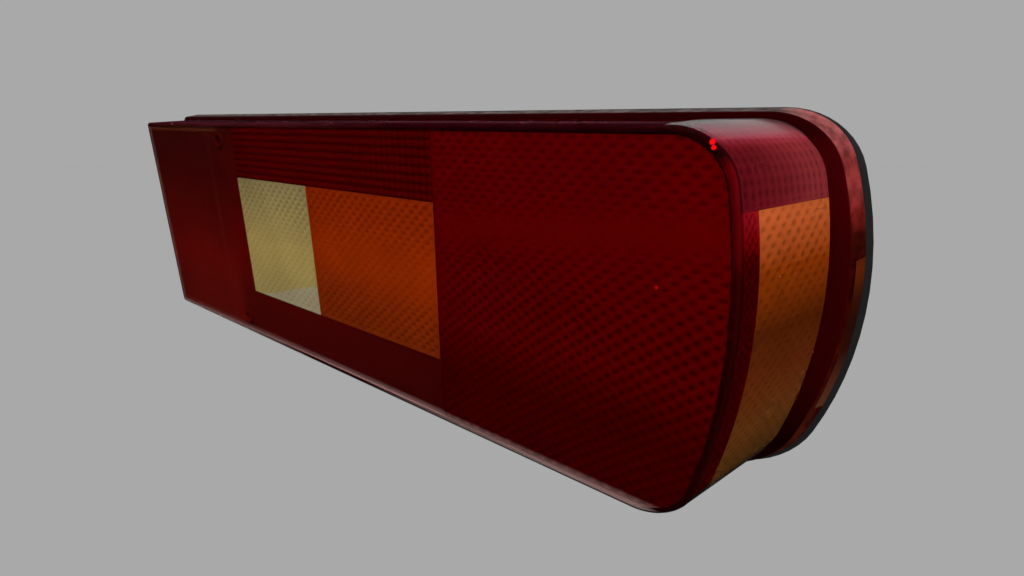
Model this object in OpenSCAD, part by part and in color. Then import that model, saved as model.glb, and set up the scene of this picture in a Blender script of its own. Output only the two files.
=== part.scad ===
// Tail light cluster for the right-hand rear corner of a saloon car.
// X runs from the boot side to the outer side of the car, Y into the body, Z up.
// The origin is the centre of the four mounting studs, on the plane where the gasket meets the body.

/* [Lens face] */
// Width of the flat face
face_w = 405; // [385:1:425]
// Height of the flat face
face_h = 133.7; // [128:0.1:140]
// How far the face stands in front of the flange at the inboard edge
depth_in = 27.5; // [24:0.1:34]
// How far the face stands in front of the flange at the outboard edge
depth_out = 51.8; // [46:0.1:58]
// Radius of the bow of the outboard edge
face_bow_r = 228; // [190:1:300]
// Radius of the upper outboard corner
face_high_r = 21.5; // [16:0.5:28]
// Radius of the lower outboard corner
face_low_r = 22.6; // [16:0.1:28]
// Rounding between the face and the walls
edge_r = 1.6; // [0.8:0.1:2.4]
// Thickness of every lens wall
lens_wall = 2.6; // [2:0.1:3]

/* [Lens flange and rim] */
// Outward slope of the outboard wall, measured at the flange
flare_out = 19.3; // [14:0.1:22]
// Outward slope of the inboard wall, measured at the flange
flare_in = 2.6; // [1:0.1:4]
// Outward slope of the upper and lower walls, measured at the flange
flare_z = 1.5; // [0.5:0.1:3]
// Width of the flange at the outboard side
flange_out = 6; // [5:0.1:8]
// Width of the flange on the other three sides
flange_w = 2.3; // [1.8:0.1:4]
// Thickness of the flange
flange_t = 2.5; // [2:0.1:3]
// Depth of the rim, from the flange face to the housing
rim_d = 8; // [7:0.5:12]
// Outward slope of the rim at the outboard side
rim_flare_out = 2.7; // [1:0.1:3]
// Outward slope of the rim on the other three sides
rim_flare = 1; // [0.4:0.1:1.5]
// Radius of the bow of the outboard wall at the flange
wall_bow_r = 190; // [170:1:240]
// Radius of the bow of the flange
flange_bow_r = 155; // [145:1:200]

/* [Windows] */
// Drop from the top of the face to the top of the reverse and indicator windows
window_drop = 31.3; // [28:0.1:36]
// Height of the reverse and indicator windows
window_h = 70.6; // [64:0.1:76]
// Distance from the inboard edge of the face to the reverse window
reverse_x = 119.6; // [112:0.1:126]
// Width of the reverse window
reverse_w = 70.6; // [64:0.1:76]
// Width of the indicator window
indicator_w = 92; // [84:0.1:98]
// Distance from the face back to the side window
side_setback = 9; // [6:0.5:12]
// Drop from the top of the face to the top of the side window
side_drop = 23.4; // [20:0.1:30]
// Drop from the top of the face to the top of the amber part of the rim
strip_drop = 40.5; // [36:0.5:46]
// Height of the amber part of the rim
strip_h = 64; // [54:1:70]
// Thickness of the red skin over the amber part of the flange
skin_t = 1.2; // [0.8:0.1:1.5]
// Spacing of the flutes above the windows
flute_pitch = 3.58; // [3:0.02:4.4]
// Height of the flutes
flute_h = 0.9; // [0.5:0.1:1.2]

/* [Lens screws] */
// Distance from the inboard edge of the face to the two screws in the face
screw_x = 103.5; // [98:0.5:107]
// Distance of those screws from the top and bottom edges of the face
screw_drop = 10.4; // [10:0.1:13]
// Radius of the screw wells
well_r = 3.3; // [3.2:0.1:4.5]
// Radius of the screw shanks
screw_r = 1.7; // [1.5:0.1:1.9]
// Radius of the screw heads
screw_head_r = 2.9; // [2.6:0.1:3]
// Height of the screw heads
screw_head_h = 2; // [1.8:0.1:2.6]
// Length of the screw shanks
screw_len = 9; // [8:0.1:10]

/* [Housing and gasket] */
// How far the housing edge shows past the rim at the outboard side
lip_out = 3.4; // [1:0.1:5]
// How far the housing edge shows past the rim on the other three sides
lip = 0.4; // [0.2:0.1:1]
// Thickness of the housing flange
plate_t = 3.5; // [3:0.1:5]
// Thickness of the body gasket
gasket_t = 3.5; // [2.8:0.1:5]
// Depth of the tub behind the mounting plane
tub_d = 36.5; // [34:0.5:42]
// Half height of the tub
tub_half = 50; // [48:0.5:52]
// Wall of the tub
tub_wall = 2.2; // [1.8:0.1:2.6]
// How much the tub narrows to the back
tub_taper = 5; // [2:0.5:6]
// Distance between the studs along X
stud_dx = 300; // [280:1:320]
// Distance of the studs from the upper and lower edges of the housing
stud_edge = 10.05; // [9.2:0.05:12]
// Radius of the studs
stud_r = 2.5; // [2:0.5:3]
// Radius of the collars that press the studs into the housing
collar_r = 3.2; // [3.2:0.1:4]
// How far the studs reach past the mounting plane
stud_len = 20; // [14:1:26]

/* [Reflector] */
// Wall of the reflector
tray_wall = 1.6; // [1.2:0.1:2]
// Focal length of the bowls
bowl_focus = 30; // [26:1:34]
// Outboard end of the stop and tail bowl, from the outboard edge of the face
stop_end = 50; // [46:1:54]
// Gap between the partitions and the back of the lens face
partition_gap = 1.8; // [1.4:0.1:3]

/* [Bulbs and carrier] */
// Radius of the large bulbs
bulb_r = 12.5; // [11:0.5:13]
// Radius of the bulb caps
cap_r = 7.5; // [7:0.1:8]
// Length of the bulb caps
cap_len = 14.5; // [13:0.5:16]
// Length of the large bulbs in front of their caps
glass_len = 35; // [30:1:38]
// Radius of the small side bulb
side_bulb_r = 5; // [4:0.5:6]
// Thickness of the carrier plate
carrier_t = 3; // [2.4:0.1:4]
// Half height of the carrier plate
carrier_half = 24; // [23:0.5:26]
// Depth of the plug shroud
shroud_d = 16; // [12:1:20]
// Thickness of the contact strips
strip_t = 0.6; // [0.5:0.1:0.8]
// Spacing of the plug blades
blade_pitch = 5; // [4.6:0.1:5.4]

/* [Hidden] */

// Running clearance between plastic pieces
gap = 0.3;
// Overlap that makes a cut come out clean
bite = 1;
// Steps in each corner, bow and small inboard corner
corner_steps = 10;
bow_steps = 12;
inner_steps = 3;
// Height of the centre of the bow
bow_z = 1.5;
// Radius of the two inboard corners of the face, and how much it grows by the flange and the rim
inboard_r = 2.5;
flange_in_grow = 2;
rim_in_grow = 3;
// How much the outboard corner radii grow from the face to the wall, the flange, the rim and the housing edge
low_grow = [5, 11, 12, 13];
high_grow = [3, 5, 6, 7];

face_x0 = -face_w / 2;
face_x1 = face_w / 2;
face_top = face_h / 2;
plate_y = -gasket_t - plate_t;
flange_y = plate_y - rim_d;
face_slope = (depth_out - depth_in) / face_w;
edge_half = face_top + flare_z + flange_w + rim_flare + lip;
stud_z = edge_half - stud_edge;
face_turn = atan(face_slope);

// Place of the front of the face at x
function face_y(x) = flange_y - depth_in - face_slope * (x - face_x0);

function arc(cx, cz, r, a0, a1, n, from, to) =
    [for (i = [from:to]) let (a = a0 + (a1 - a0) * i / n) [cx + r * cos(a), cz + r * sin(a)]];

// Upright outline with a bowed outboard side, anticlockwise from the lower inboard corner
function bowed(x0, x1, half, bow_r, low_r, high_r, in_r) =
    let (cx = x1 - bow_r,
        low_z = low_r - half,
        high_z = half - high_r,
        low_x = cx + sqrt(pow(bow_r - low_r, 2) - pow(low_z - bow_z, 2)),
        high_x = cx + sqrt(pow(bow_r - high_r, 2) - pow(high_z - bow_z, 2)),
        low_a = atan2(low_z - bow_z, low_x - cx),
        high_a = atan2(high_z - bow_z, high_x - cx))
    concat(
        arc(x0 + in_r, in_r - half, in_r, 180, 270, inner_steps, 0, inner_steps),
        arc(low_x, low_z, low_r, -90, low_a, corner_steps, 0, corner_steps),
        arc(cx, bow_z, bow_r, low_a, high_a, bow_steps, 1, bow_steps - 1),
        arc(high_x, high_z, high_r, high_a, 90, corner_steps, 0, corner_steps),
        arc(x0 + in_r, half - in_r, in_r, 90, 180, inner_steps, 0, inner_steps));

// Outlines of the lens, each moved inward by inset
function face_line(inset) = bowed(face_x0 + inset, face_x1 - inset, face_top - inset,
    face_bow_r - inset, face_low_r - inset, face_high_r - inset, max(inboard_r - inset, 0.4));
function wall_line(inset) = bowed(face_x0 - flare_in + inset, face_x1 + flare_out - inset,
    face_top + flare_z - inset, wall_bow_r - inset, face_low_r + low_grow[0] - inset,
        face_high_r + high_grow[0] - inset,
    max(inboard_r - inset, 0.4));
function flange_line(inset) = bowed(face_x0 - flare_in - flange_w + inset,
    face_x1 + flare_out + flange_out - inset, face_top + flare_z + flange_w - inset,
    flange_bow_r - inset, face_low_r + low_grow[1] - inset, face_high_r + high_grow[1] - inset,
    max(inboard_r + flange_in_grow - inset, 0.4));
function rim_line(inset) = bowed(face_x0 - flare_in - flange_w - rim_flare + inset,
    face_x1 + flare_out + flange_out + rim_flare_out - inset,
    face_top + flare_z + flange_w + rim_flare - inset,
    flange_bow_r - inset, face_low_r + low_grow[2] - inset, face_high_r + high_grow[2] - inset,
    max(inboard_r + rim_in_grow - inset, 0.4));
function edge_line(inset) = bowed(face_x0 - flare_in - flange_w - rim_flare - lip + inset,
    face_x1 + flare_out + flange_out + rim_flare_out + lip_out - inset,
    edge_half - inset,
    flange_bow_r - inset, face_low_r + low_grow[3] - inset, face_high_r + high_grow[3] - inset,
    max(inboard_r + rim_in_grow - inset, 0.4));

// Rings of points in space: an upright outline at one depth, or on a plane parallel to the face
function flat_ring(line, y) = [for (p = line) [p[0], y, p[1]]];
function face_ring(line, back) = [for (p = line) [p[0], face_y(p[0]) + back, p[1]]];

// Solid through a row of rings with the same number of points, from front to back
module skin(rings) {
    n = len(rings[0]);
    last = len(rings) - 1;
    points = [for (ring = rings) for (p = ring) p];
    sides = [for (k = [0:last - 1]) for (i = [0:n - 1]) let (j = (i + 1) % n) each
        [[k * n + i, k * n + j, (k + 1) * n + j], [k * n + i, (k + 1) * n + j, (k + 1) * n + i]]];
    front = [for (i = [n - 1:-1:0]) i];
    back = [for (i = [0:n - 1]) last * n + i];
    polyhedron(points = points, faces = concat(sides, [front], [back]));
}

// Plate with an upright outline from y0 to y1
module plate(line, y0, y1) {
    translate([0, y1, 0]) rotate([90, 0, 0]) linear_extrude(y1 - y0) polygon(line);
}

// Box between two corners
module box(low, high) {
    translate(low) cube(high - low);
}

// Round bar along Y
module bar_y(x, z, r, y0, y1, steps = 48) {
    translate([x, y1, z]) rotate([90, 0, 0]) cylinder(h = y1 - y0, r = r, $fn = steps);
}

// Upright outline of a rectangle
function rectangle(x0, x1, z0, z1) = [[x0, z0], [x1, z0], [x1, z1], [x0, z1]];

// Lens

window_z1 = face_top - window_drop;
window_z0 = window_z1 - window_h;
reverse_x0 = face_x0 + reverse_x;
indicator_x0 = reverse_x0 + reverse_w;
indicator_x1 = indicator_x0 + indicator_w;
window_back = flange_y - 8;
well_x = face_x0 + screw_x;
well_z = face_top - screw_drop;
well_wall = 1.3;
well_floor = 2;
boss_top = plate_y - 5;
strip_z1 = face_top - strip_drop;
strip_z0 = strip_z1 - strip_h;
// The two rear bosses stand as far inside the wall as boss_inset, just past the longer end of the strip
boss_inset = 7;
boss_past_strip = 2.35;
rear_boss_x = face_x1 + flare_out - boss_inset;
rear_boss_z = max(strip_z1, -strip_z0) + boss_past_strip;
rear_boss_r = 4;
side_z1 = face_top - side_drop;
side_y0 = face_y(face_x1) + side_setback;
side_x0 = face_x1 - face_low_r;
strip_x0 = face_x1 + 2;
// Red land left between the side window and the flange
side_land = 0.4;
rim_wall = 2.4;

module lens_outside() {
    skin([face_ring(face_line(edge_r), 0), face_ring(face_line(edge_r * 0.29), edge_r * 0.29),
        face_ring(face_line(0), edge_r), flat_ring(wall_line(0), flange_y + bite)]);
    skin([flat_ring(flange_line(0.7), flange_y), flat_ring(flange_line(0), flange_y + 0.7),
        flat_ring(rim_line(0), plate_y)]);
}

module lens_inside() {
    skin([face_ring(face_line(lens_wall), lens_wall), flat_ring(wall_line(lens_wall), flange_y + flange_t),
        flat_ring(wall_line(lens_wall), flange_y + flange_t + bite)]);
    skin([flat_ring(flange_line(rim_wall), flange_y + flange_t),
        flat_ring(rim_line(rim_wall), plate_y + bite)]);
}

// The two long windows pass straight through the face
module reverse_zone() {
    plate(rectangle(reverse_x0, indicator_x0, window_z0, window_z1), face_y(face_x1) - bite, window_back);
}

module indicator_zone() {
    plate(rectangle(indicator_x0, indicator_x1, window_z0, window_z1), face_y(face_x1) - bite, window_back);
}

// The side window fills the outboard wall, and its amber runs on under the flange into the rim
module side_zone() {
    outer = face_x1 + flare_out + flange_out + rim_flare_out + bite;
    difference() {
        union() {
            box([side_x0, side_y0, -face_h], [outer, flange_y - side_land, side_z1]);
            box([strip_x0, flange_y - bite, strip_z0], [outer, plate_y + bite, strip_z1]);
        }
        difference() {
            box([side_x0, flange_y - side_land / 2, -face_h], [outer + bite, flange_y + skin_t, face_h]);
            plate(wall_line(0), flange_y - bite, flange_y + skin_t + bite);
        }
    }
}

module shell() {
    difference() {
        lens_outside();
        lens_inside();
    }
}

// Flutes moulded on the back of the face, just above the windows
module flutes() {
    land = 0.4;
    web = 0.1;
    count = floor((window_drop - lens_wall - edge_r - land) / flute_pitch);
    r = (pow(flute_pitch / 2, 2) + pow(flute_h, 2)) / (2 * flute_h);
    run = indicator_x1 - reverse_x0;
    translate([reverse_x0, face_y(reverse_x0) + lens_wall, window_z1 + land])
        rotate([0, 0, -face_turn])
            for (i = [0:count - 1])
                intersection() {
                    translate([0, web + flute_h - r, (i + 0.5) * flute_pitch])
                        rotate([0, 90, 0]) cylinder(h = run, r = r, $fn = 48);
                    box([0, -0.4, i * flute_pitch], [run, flute_h + bite, (i + 1) * flute_pitch]);
                }
}

module wells() {
    for (side = [-1, 1])
        bar_y(well_x, side * well_z, well_r + well_wall, face_y(well_x) + lens_wall / 2, boss_top);
    for (side = [-1, 1])
        bar_y(rear_boss_x, side * rear_boss_z, rear_boss_r, flange_y + flange_t / 2, plate_y);
}

module well_holes() {
    for (side = [-1, 1]) {
        bar_y(well_x, side * well_z, well_r, face_y(well_x) - bite, boss_top - well_floor);
        bar_y(well_x, side * well_z, screw_r + gap / 2, boss_top - well_floor - bite, boss_top + bite);
        bar_y(rear_boss_x, side * rear_boss_z, screw_r, plate_y + plate_t - screw_len - 0.5, plate_y + bite);
    }
}

module lens() {
    color("darkred")
        difference() {
            union() {
                difference() {
                    shell();
                    side_zone();
                    reverse_zone();
                    indicator_zone();
                }
                flutes();
                wells();
            }
            well_holes();
        }
}

module reverse_window() {
    color("palegoldenrod")
        intersection() {
            shell();
            reverse_zone();
        }
}

module indicator_window() {
    color("orangered")
        intersection() {
            shell();
            indicator_zone();
        }
}

module side_window() {
    color("darkorange")
        difference() {
            intersection() {
                shell();
                side_zone();
            }
            for (side = [-1, 1])
                bar_y(rear_boss_x, side * rear_boss_z, rear_boss_r + 0.01, flange_y + skin_t, plate_y + bite);
        }
}

// Housing

seal_w = 2;
seal_d = 1.8;
// How far the tub stays inside the face at its inboard and outboard ends
tub_in = 9;
tub_out = 12;
tub_x0 = face_x0 + tub_in;
tub_x1 = face_x1 - tub_out;
tub_r = 12;
rear_y = tub_d - 2.5;

function tub_line(inset) = bowed(tub_x0 + inset, tub_x1 - inset, tub_half - inset,
    face_bow_r - inset, tub_r - min(inset, 8), tub_r - min(inset, 8), tub_r - min(inset, 8));

// Chambers of the reflector, each [low x, high x, half height]
stop_x1 = face_x1 - stop_end;
bowl_half = tub_half - tub_wall - tub_taper;
fog_box = [tub_x0 + tub_wall + tub_taper, reverse_x0 - tray_wall, bowl_half];
reverse_box = [reverse_x0 + tray_wall / 2, indicator_x0 - tray_wall / 2, bowl_half];
indicator_box = [indicator_x0 + tray_wall / 2, indicator_x1 - tray_wall / 2, bowl_half];
stop_box = [indicator_x1 + tray_wall / 2, stop_x1 - tray_wall / 2, bowl_half];
side_box = [stop_x1 + tray_wall / 2, tub_x1 - tub_wall - tub_taper - 3.5, bowl_half * 0.7];
bowl_boxes = [fog_box, reverse_box, indicator_box, stop_box, side_box];
function middle(b) = (b[0] + b[1]) / 2;
fog_x = middle(fog_box);
reverse_bulb_x = middle(reverse_box);
indicator_x = middle(indicator_box);
stop_x = middle(stop_box);
side_x = middle(side_box);
large_bulbs = [fog_x, reverse_bulb_x, indicator_x, stop_x];

socket_r = cap_r + 0.2;
socket_wall = 2;
side_cap_r = 4.6;
side_socket_r = side_cap_r + 0.2;
opening_x0 = fog_x - socket_r - socket_wall - 2.5;
opening_x1 = side_x + side_socket_r + socket_wall + 2.5;
opening_half = socket_r + socket_wall + 6;
carrier_x0 = opening_x0 - 6;
carrier_x1 = opening_x1 + 4;
seal_t = 2;
// How far the carrier seal reaches past the opening, less at the outboard end, and its inner edge's
// distance from it
seal_out = 4;
seal_end_out = 3;
seal_off = 0.5;
carrier_y = tub_d + seal_t;
carrier_back = carrier_y + carrier_t;
// The first hook from the end of the opening, the second from the end of the indicator window
hook_from_opening = 30;
hook_from_window = 8;
hook_x = [opening_x0 + hook_from_opening, indicator_x1 + hook_from_window];
hook_half = 4;
hook_wall = 2.4;
hook_rise = 2.4;
vent_x = stop_x;
vent_z = (carrier_half - tub_half + tub_taper) / 2 - carrier_half;
vent_r = 3;
rib_pitch = 22;
rib_h = 1.6;
rib_margin = 20;

module mounting_places() {
    for (sx = [-1, 1])
        for (sz = [-1, 1])
            translate([sx * stud_dx / 2, 0, sz * stud_z]) children();
}

module hooks() {
    for (x = hook_x)
        for (side = [0, 1])
            mirror([0, 0, side]) translate([x - hook_half, 0, 0]) rotate([90, 0, 90])
                linear_extrude(2 * hook_half)
                    polygon([[tub_d - 0.5, carrier_half + gap], [carrier_back + gap, carrier_half + gap],
                        [carrier_back + gap, carrier_half - 1], [carrier_back + 1, carrier_half - 1.4],
                        [carrier_back + hook_rise, carrier_half + gap],
                        [carrier_back + hook_rise, carrier_half + gap + hook_wall],
                        [tub_d - 0.5, carrier_half + gap + hook_wall]]);
}

// Upright ribs on the back of the tub, above and below the carrier
module back_ribs() {
    inner = carrier_half + gap + hook_wall + 1.5;
    for (x = [tub_x0 + rib_margin:rib_pitch:tub_x1 - rib_margin])
        for (side = [-1, 1])
            if (side > 0 || abs(x - vent_x) > vent_r + 4)
                box([x - 0.8, tub_d - bite, min(side * inner, side * (tub_half - tub_taper - 2))],
                    [x + 0.8, tub_d + rib_h, max(side * inner, side * (tub_half - tub_taper - 2))]);
}

module housing() {
    color("#26272a")
        difference() {
            union() {
                plate(edge_line(0), plate_y, plate_y + plate_t);
                skin([flat_ring(tub_line(0), plate_y + plate_t - bite),
                    flat_ring(tub_line(tub_taper), tub_d)]);
                for (side = [-1, 1])
                    bar_y(well_x, side * well_z, well_r + well_wall, boss_top, plate_y + plate_t);
                hooks();
                back_ribs();
                bar_y(vent_x, vent_z, vent_r, tub_d - 1, tub_d + 6);
            }
            skin([flat_ring(tub_line(tub_wall), plate_y - bite),
                flat_ring(tub_line(tub_taper + tub_wall), rear_y)]);
            box([opening_x0, rear_y - bite, -opening_half], [opening_x1, tub_d + bite, opening_half]);
            difference() {
                plate(rim_line(0), plate_y - bite, plate_y + seal_d);
                plate(rim_line(seal_w + 0.4), plate_y - 2 * bite, plate_y + seal_d + bite);
            }
            mounting_places() bar_y(0, 0, collar_r + 0.05, plate_y - bite, plate_y + plate_t + bite);
            for (side = [-1, 1]) {
                bar_y(well_x, side * well_z, screw_r, boss_top - bite,
                    boss_top - well_floor + screw_len + 0.5);
                bar_y(rear_boss_x, side * rear_boss_z, screw_r + gap / 2, plate_y - bite,
                    plate_y + plate_t + bite);
            }
            bar_y(vent_x, vent_z, vent_r - 1.2, rear_y - bite, tub_d + 7);
        }
}

module lens_seal() {
    color("#1c1c1c")
        difference() {
            plate(rim_line(0.2), plate_y, plate_y + seal_d);
            plate(rim_line(0.2 + seal_w), plate_y - bite, plate_y + seal_d + bite);
        }
}

module body_gasket() {
    color("#181818")
        difference() {
            plate(edge_line(0.6), -gasket_t, 0);
            plate(tub_line(-1), -gasket_t - bite, bite);
            mounting_places() bar_y(0, 0, collar_r + 0.2, -gasket_t - bite, bite);
            for (side = [-1, 1])
                bar_y(rear_boss_x, side * rear_boss_z, screw_head_r + 0.5, -gasket_t - bite, bite);
        }
}

module mounting_studs() {
    head_t = 1.5;
    head_r = 5.5;
    lead = 0.8;
    color("silver")
        mounting_places() rotate([-90, 0, 0])
            rotate_extrude($fn = 48)
                polygon([[0, plate_y - head_t], [head_r, plate_y - head_t], [head_r, plate_y],
                    [collar_r, plate_y],
                    [collar_r, 0], [stud_r, 0], [stud_r, stud_len - lead], [stud_r - lead, stud_len],
                    [0, stud_len]]);
}

// One pan-head screw, point towards +Y, underside of the head at the origin
module screw() {
    rotate([-90, 0, 0])
        difference() {
            rotate_extrude($fn = 48)
                polygon([[0, -screw_head_h], [screw_head_r - 1, -screw_head_h],
                    [screw_head_r, 0.9 - screw_head_h],
                    [screw_head_r, 0], [screw_r - 0.05, 0], [screw_r - 0.05, screw_len - 1.6],
                    [0.3, screw_len], [0, screw_len]]);
            for (turn = [0, 90])
                rotate([0, 0, turn])
                    box([-screw_head_r * 0.6, -0.4, -screw_head_h - bite],
                        [screw_head_r * 0.6, 0.4, 1.2 - screw_head_h]);
        }
}

module lens_screws() {
    color("silver")
        for (side = [-1, 1]) {
            translate([well_x, boss_top - well_floor, side * well_z]) screw();
            translate([rear_boss_x, plate_y + plate_t, side * rear_boss_z]) rotate([0, 0, 180]) screw();
        }
}

// Reflector

tray_t = 1.6;
bowl_back = rear_y - tray_wall - 4;
bulb_hole_r = max(bulb_r + 1.2, socket_r + socket_wall + 0.5);
side_hole_r = max(side_bulb_r + 1.2, side_socket_r + socket_wall + 0.5);

// Solid that a bowl encloses, grown outward by wall
module bowl(b, wall) {
    steps = 12;
    reach = 90;
    back = bowl_back + wall;
    intersection() {
        box([b[0] - wall, plate_y - tray_t, -b[2] - wall], [b[1] + wall, back, b[2] + wall]);
        translate([middle(b), back, 0]) rotate([90, 0, 0])
            rotate_extrude($fn = 64)
                polygon(concat([for (i = [0:steps]) let (r = reach * i / steps)
                    [r, r * r / (4 * bowl_focus)]],
                    [[0, reach * reach / (4 * bowl_focus)]]));
    }
}

// Upright partition that stands from the tray to just behind the face
module partition(x) {
    half = face_top - lens_wall - 1.4;
    front = face_y(x - tray_wall / 2) + lens_wall + partition_gap;
    box([x - tray_wall / 2, front, -half], [x + tray_wall / 2, plate_y - tray_t / 2, half]);
}

// Slanted partition between the stop chamber and the side chamber
module side_partition() {
    tip_x = face_x1 - lens_wall - 8;
    tip_y = side_y0 - 2;
    translate([0, 0, -bowl_half])
        linear_extrude(2 * bowl_half)
            polygon([[stop_x1 - tray_wall / 2, plate_y - tray_t / 2], [tip_x - tray_wall, tip_y],
                [tip_x, tip_y], [stop_x1 + tray_wall / 2 + 0.6, plate_y - tray_t / 2]]);
}

module reflector_tray() {
    color("gainsboro")
        difference() {
            union() {
                plate(tub_line(-3), plate_y - tray_t, plate_y);
                for (b = bowl_boxes) bowl(b, tray_wall);
                for (x = [reverse_x0, indicator_x0, indicator_x1]) partition(x);
                side_partition();
            }
            for (b = bowl_boxes) translate([0, -0.01, 0]) bowl(b, 0);
            for (x = large_bulbs) bar_y(x, 0, bulb_hole_r, 0, rear_y);
            bar_y(side_x, 0, side_hole_r, 0, rear_y);
            for (side = [-1, 1])
                bar_y(well_x, side * well_z, well_r + well_wall + gap, plate_y - tray_t - bite,
                    plate_y + bite);
        }
}

// Bulbs, with the base of each cap at the back of the carrier

cap_back = carrier_back - 1.5;
cap_front = cap_back - cap_len;
glass_seat = cap_front + 3;
bayonet_y = cap_front + 6;
bayonet_r = 1;
stop_contact = 3;
side_glass_len = 20;

// Wall of a blown bulb: neck radius, body radius and length in front of the cap
module blown(neck, body, length) {
    wall = 0.7;
    tip = cap_front - length;
    ball = tip + body;
    shoulder = min(ball + body * 1.1, cap_front - 1);
    outer = concat([[neck, -glass_seat], [neck, -cap_front + 1]], [[body * 0.93, -shoulder]],
        [for (a = [0:15:90]) [body * cos(a), body * sin(a) - ball]]);
    inner = concat([for (a = [90:-15:0]) [(body - wall) * cos(a), (body - wall) * sin(a) - ball]],
        [[body * 0.93 - wall, -shoulder], [neck - wall, -cap_front + 1], [neck - wall, -glass_seat]]);
    rotate([90, 0, 0]) rotate_extrude($fn = 48) polygon(concat(outer, inner));
}

// Bayonet cap with its two pins and one or two contacts
module bayonet_cap(r, contacts) {
    difference() {
        union() {
            bar_y(0, 0, r, cap_front, cap_back);
            for (x = contacts) bar_y(x, 0, 1.9, cap_back - 0.5, carrier_back, 24);
            translate([-r - 0.9, bayonet_y, 0]) rotate([0, 90, 0])
                cylinder(h = 2 * r + 1.8, r = bayonet_r, $fn = 24);
        }
        bar_y(0, 0, r - 0.6, cap_front - bite, glass_seat);
    }
}

// Two legs with a coiled wire between them
module filament(legs, y) {
    for (x = [-legs, legs])
        bar_y(x, 0, 0.35, y - 0.3, glass_seat, 16);
    translate([-legs, y, 0]) rotate([0, 90, 0]) cylinder(h = 2 * legs, r = 0.6, $fn = 16);
}

module large_glass(x) {
    color("white", 0.4) translate([x, 0, 0]) blown(cap_r - 0.8, bulb_r, glass_len);
}

module large_cap(x, contacts) {
    color("goldenrod") translate([x, 0, 0]) bayonet_cap(cap_r, contacts);
}

module large_filament(x) {
    color("dimgray") translate([x, 0, 0]) filament(3.2, cap_front - glass_len + bulb_r);
}

module fog_bulb_glass() large_glass(fog_x);
module fog_bulb_cap() large_cap(fog_x, [0]);
module fog_bulb_filament() large_filament(fog_x);
module reverse_bulb_glass() large_glass(reverse_bulb_x);
module reverse_bulb_cap() large_cap(reverse_bulb_x, [0]);
module reverse_bulb_filament() large_filament(reverse_bulb_x);
module indicator_bulb_glass() large_glass(indicator_x);
module indicator_bulb_cap() large_cap(indicator_x, [0]);
module indicator_bulb_filament() large_filament(indicator_x);
module stop_bulb_glass() large_glass(stop_x);
module stop_bulb_cap() large_cap(stop_x, [-stop_contact, stop_contact]);
module stop_bulb_filament() large_filament(stop_x);

module side_bulb_glass() {
    color("white", 0.4) translate([side_x, 0, 0]) blown(side_cap_r - 0.8, side_bulb_r, side_glass_len);
}

module side_bulb_cap() {
    color("goldenrod") translate([side_x, 0, 0]) bayonet_cap(side_cap_r, [0]);
}

module side_bulb_filament() {
    color("dimgray") translate([side_x, 0, 0]) filament(1.8, cap_front - side_glass_len + side_bulb_r);
}

// Bulb carrier

blade_count = 7;
blade_w = 2.6;
shroud_x = (reverse_bulb_x + indicator_x) / 2;
shroud_half_x = blade_pitch * blade_count / 2 + 2;
shroud_half_z = 6.4;
shroud_wall = 1.8;
tongue_w = 4;
tongue_t = 0.5;

function blade_x(i) = shroud_x + (i - (blade_count - 1) / 2) * blade_pitch;

module socket(x, r) {
    bar_y(x, 0, r + socket_wall, cap_front + 2, carrier_y + bite);
}

module socket_hole(x, r, cap) {
    bar_y(x, 0, r, cap_front, carrier_back + bite);
    box([x - r - socket_wall - bite, cap_front, -bayonet_r - 0.3],
        [x + r + socket_wall + bite, bayonet_y + bayonet_r + 0.4, bayonet_r + 0.3]);
    box([x - tongue_w / 2 - gap, cap_front, 0], [x + tongue_w / 2 + gap, carrier_back + bite, cap + 1.6]);
}

module carrier_plate() {
    corner = 5;
    translate([0, carrier_back, 0]) rotate([90, 0, 0]) linear_extrude(carrier_t)
        polygon(concat(
            arc(carrier_x0 + corner, corner - carrier_half, corner, 180, 270, 6, 0, 6),
            arc(carrier_x1 - corner, corner - carrier_half, corner, 270, 360, 6, 0, 6),
            arc(carrier_x1 - corner, carrier_half - corner, corner, 0, 90, 6, 0, 6),
            arc(carrier_x0 + corner, carrier_half - corner, corner, 90, 180, 6, 0, 6)));
}

module bulb_carrier() {
    color("#e6e2d6")
        difference() {
            union() {
                carrier_plate();
                for (x = large_bulbs) socket(x, socket_r);
                socket(side_x, side_socket_r);
                box([shroud_x - shroud_half_x - shroud_wall, carrier_back - bite,
                    -shroud_half_z - shroud_wall],
                    [shroud_x + shroud_half_x + shroud_wall, carrier_back + shroud_d,
                        shroud_half_z + shroud_wall]);
                for (side = [-1, 1])
                    box([carrier_x0 + 8, carrier_back - bite, side * (carrier_half - 3) - 0.8],
                        [carrier_x1 - 8, carrier_back + 1.4, side * (carrier_half - 3) + 0.8]);
            }
            box([shroud_x - shroud_half_x, carrier_back, -shroud_half_z],
                [shroud_x + shroud_half_x, carrier_back + shroud_d + bite, shroud_half_z]);
            for (side = [-1, 1])
                box([shroud_x - shroud_half_x + 0.5, carrier_back,
                    side * (shroud_half_z + shroud_wall / 2) - shroud_wall],
                    [shroud_x + shroud_half_x - 0.5, carrier_back + strip_t + gap,
                        side * (shroud_half_z + shroud_wall / 2) + shroud_wall]);
            for (x = large_bulbs) socket_hole(x, socket_r, cap_r);
            socket_hole(side_x, side_socket_r, side_cap_r);
        }
}

module carrier_seal() {
    color("#1c1c1c")
        difference() {
            box([opening_x0 - seal_out, tub_d, -opening_half - seal_out],
                [opening_x1 + seal_end_out, tub_d + seal_t, opening_half + seal_out]);
            box([opening_x0 - seal_off, tub_d - bite, -opening_half - seal_off],
                [opening_x1 + seal_off, tub_d + seal_t + bite, opening_half + seal_off]);
        }
}

// Contact strips, stamped flat and laid on the back of the carrier

lane_w = 2;
lane_pitch = 3;
lane_z = -shroud_half_z - shroud_wall - 1.6;

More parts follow.
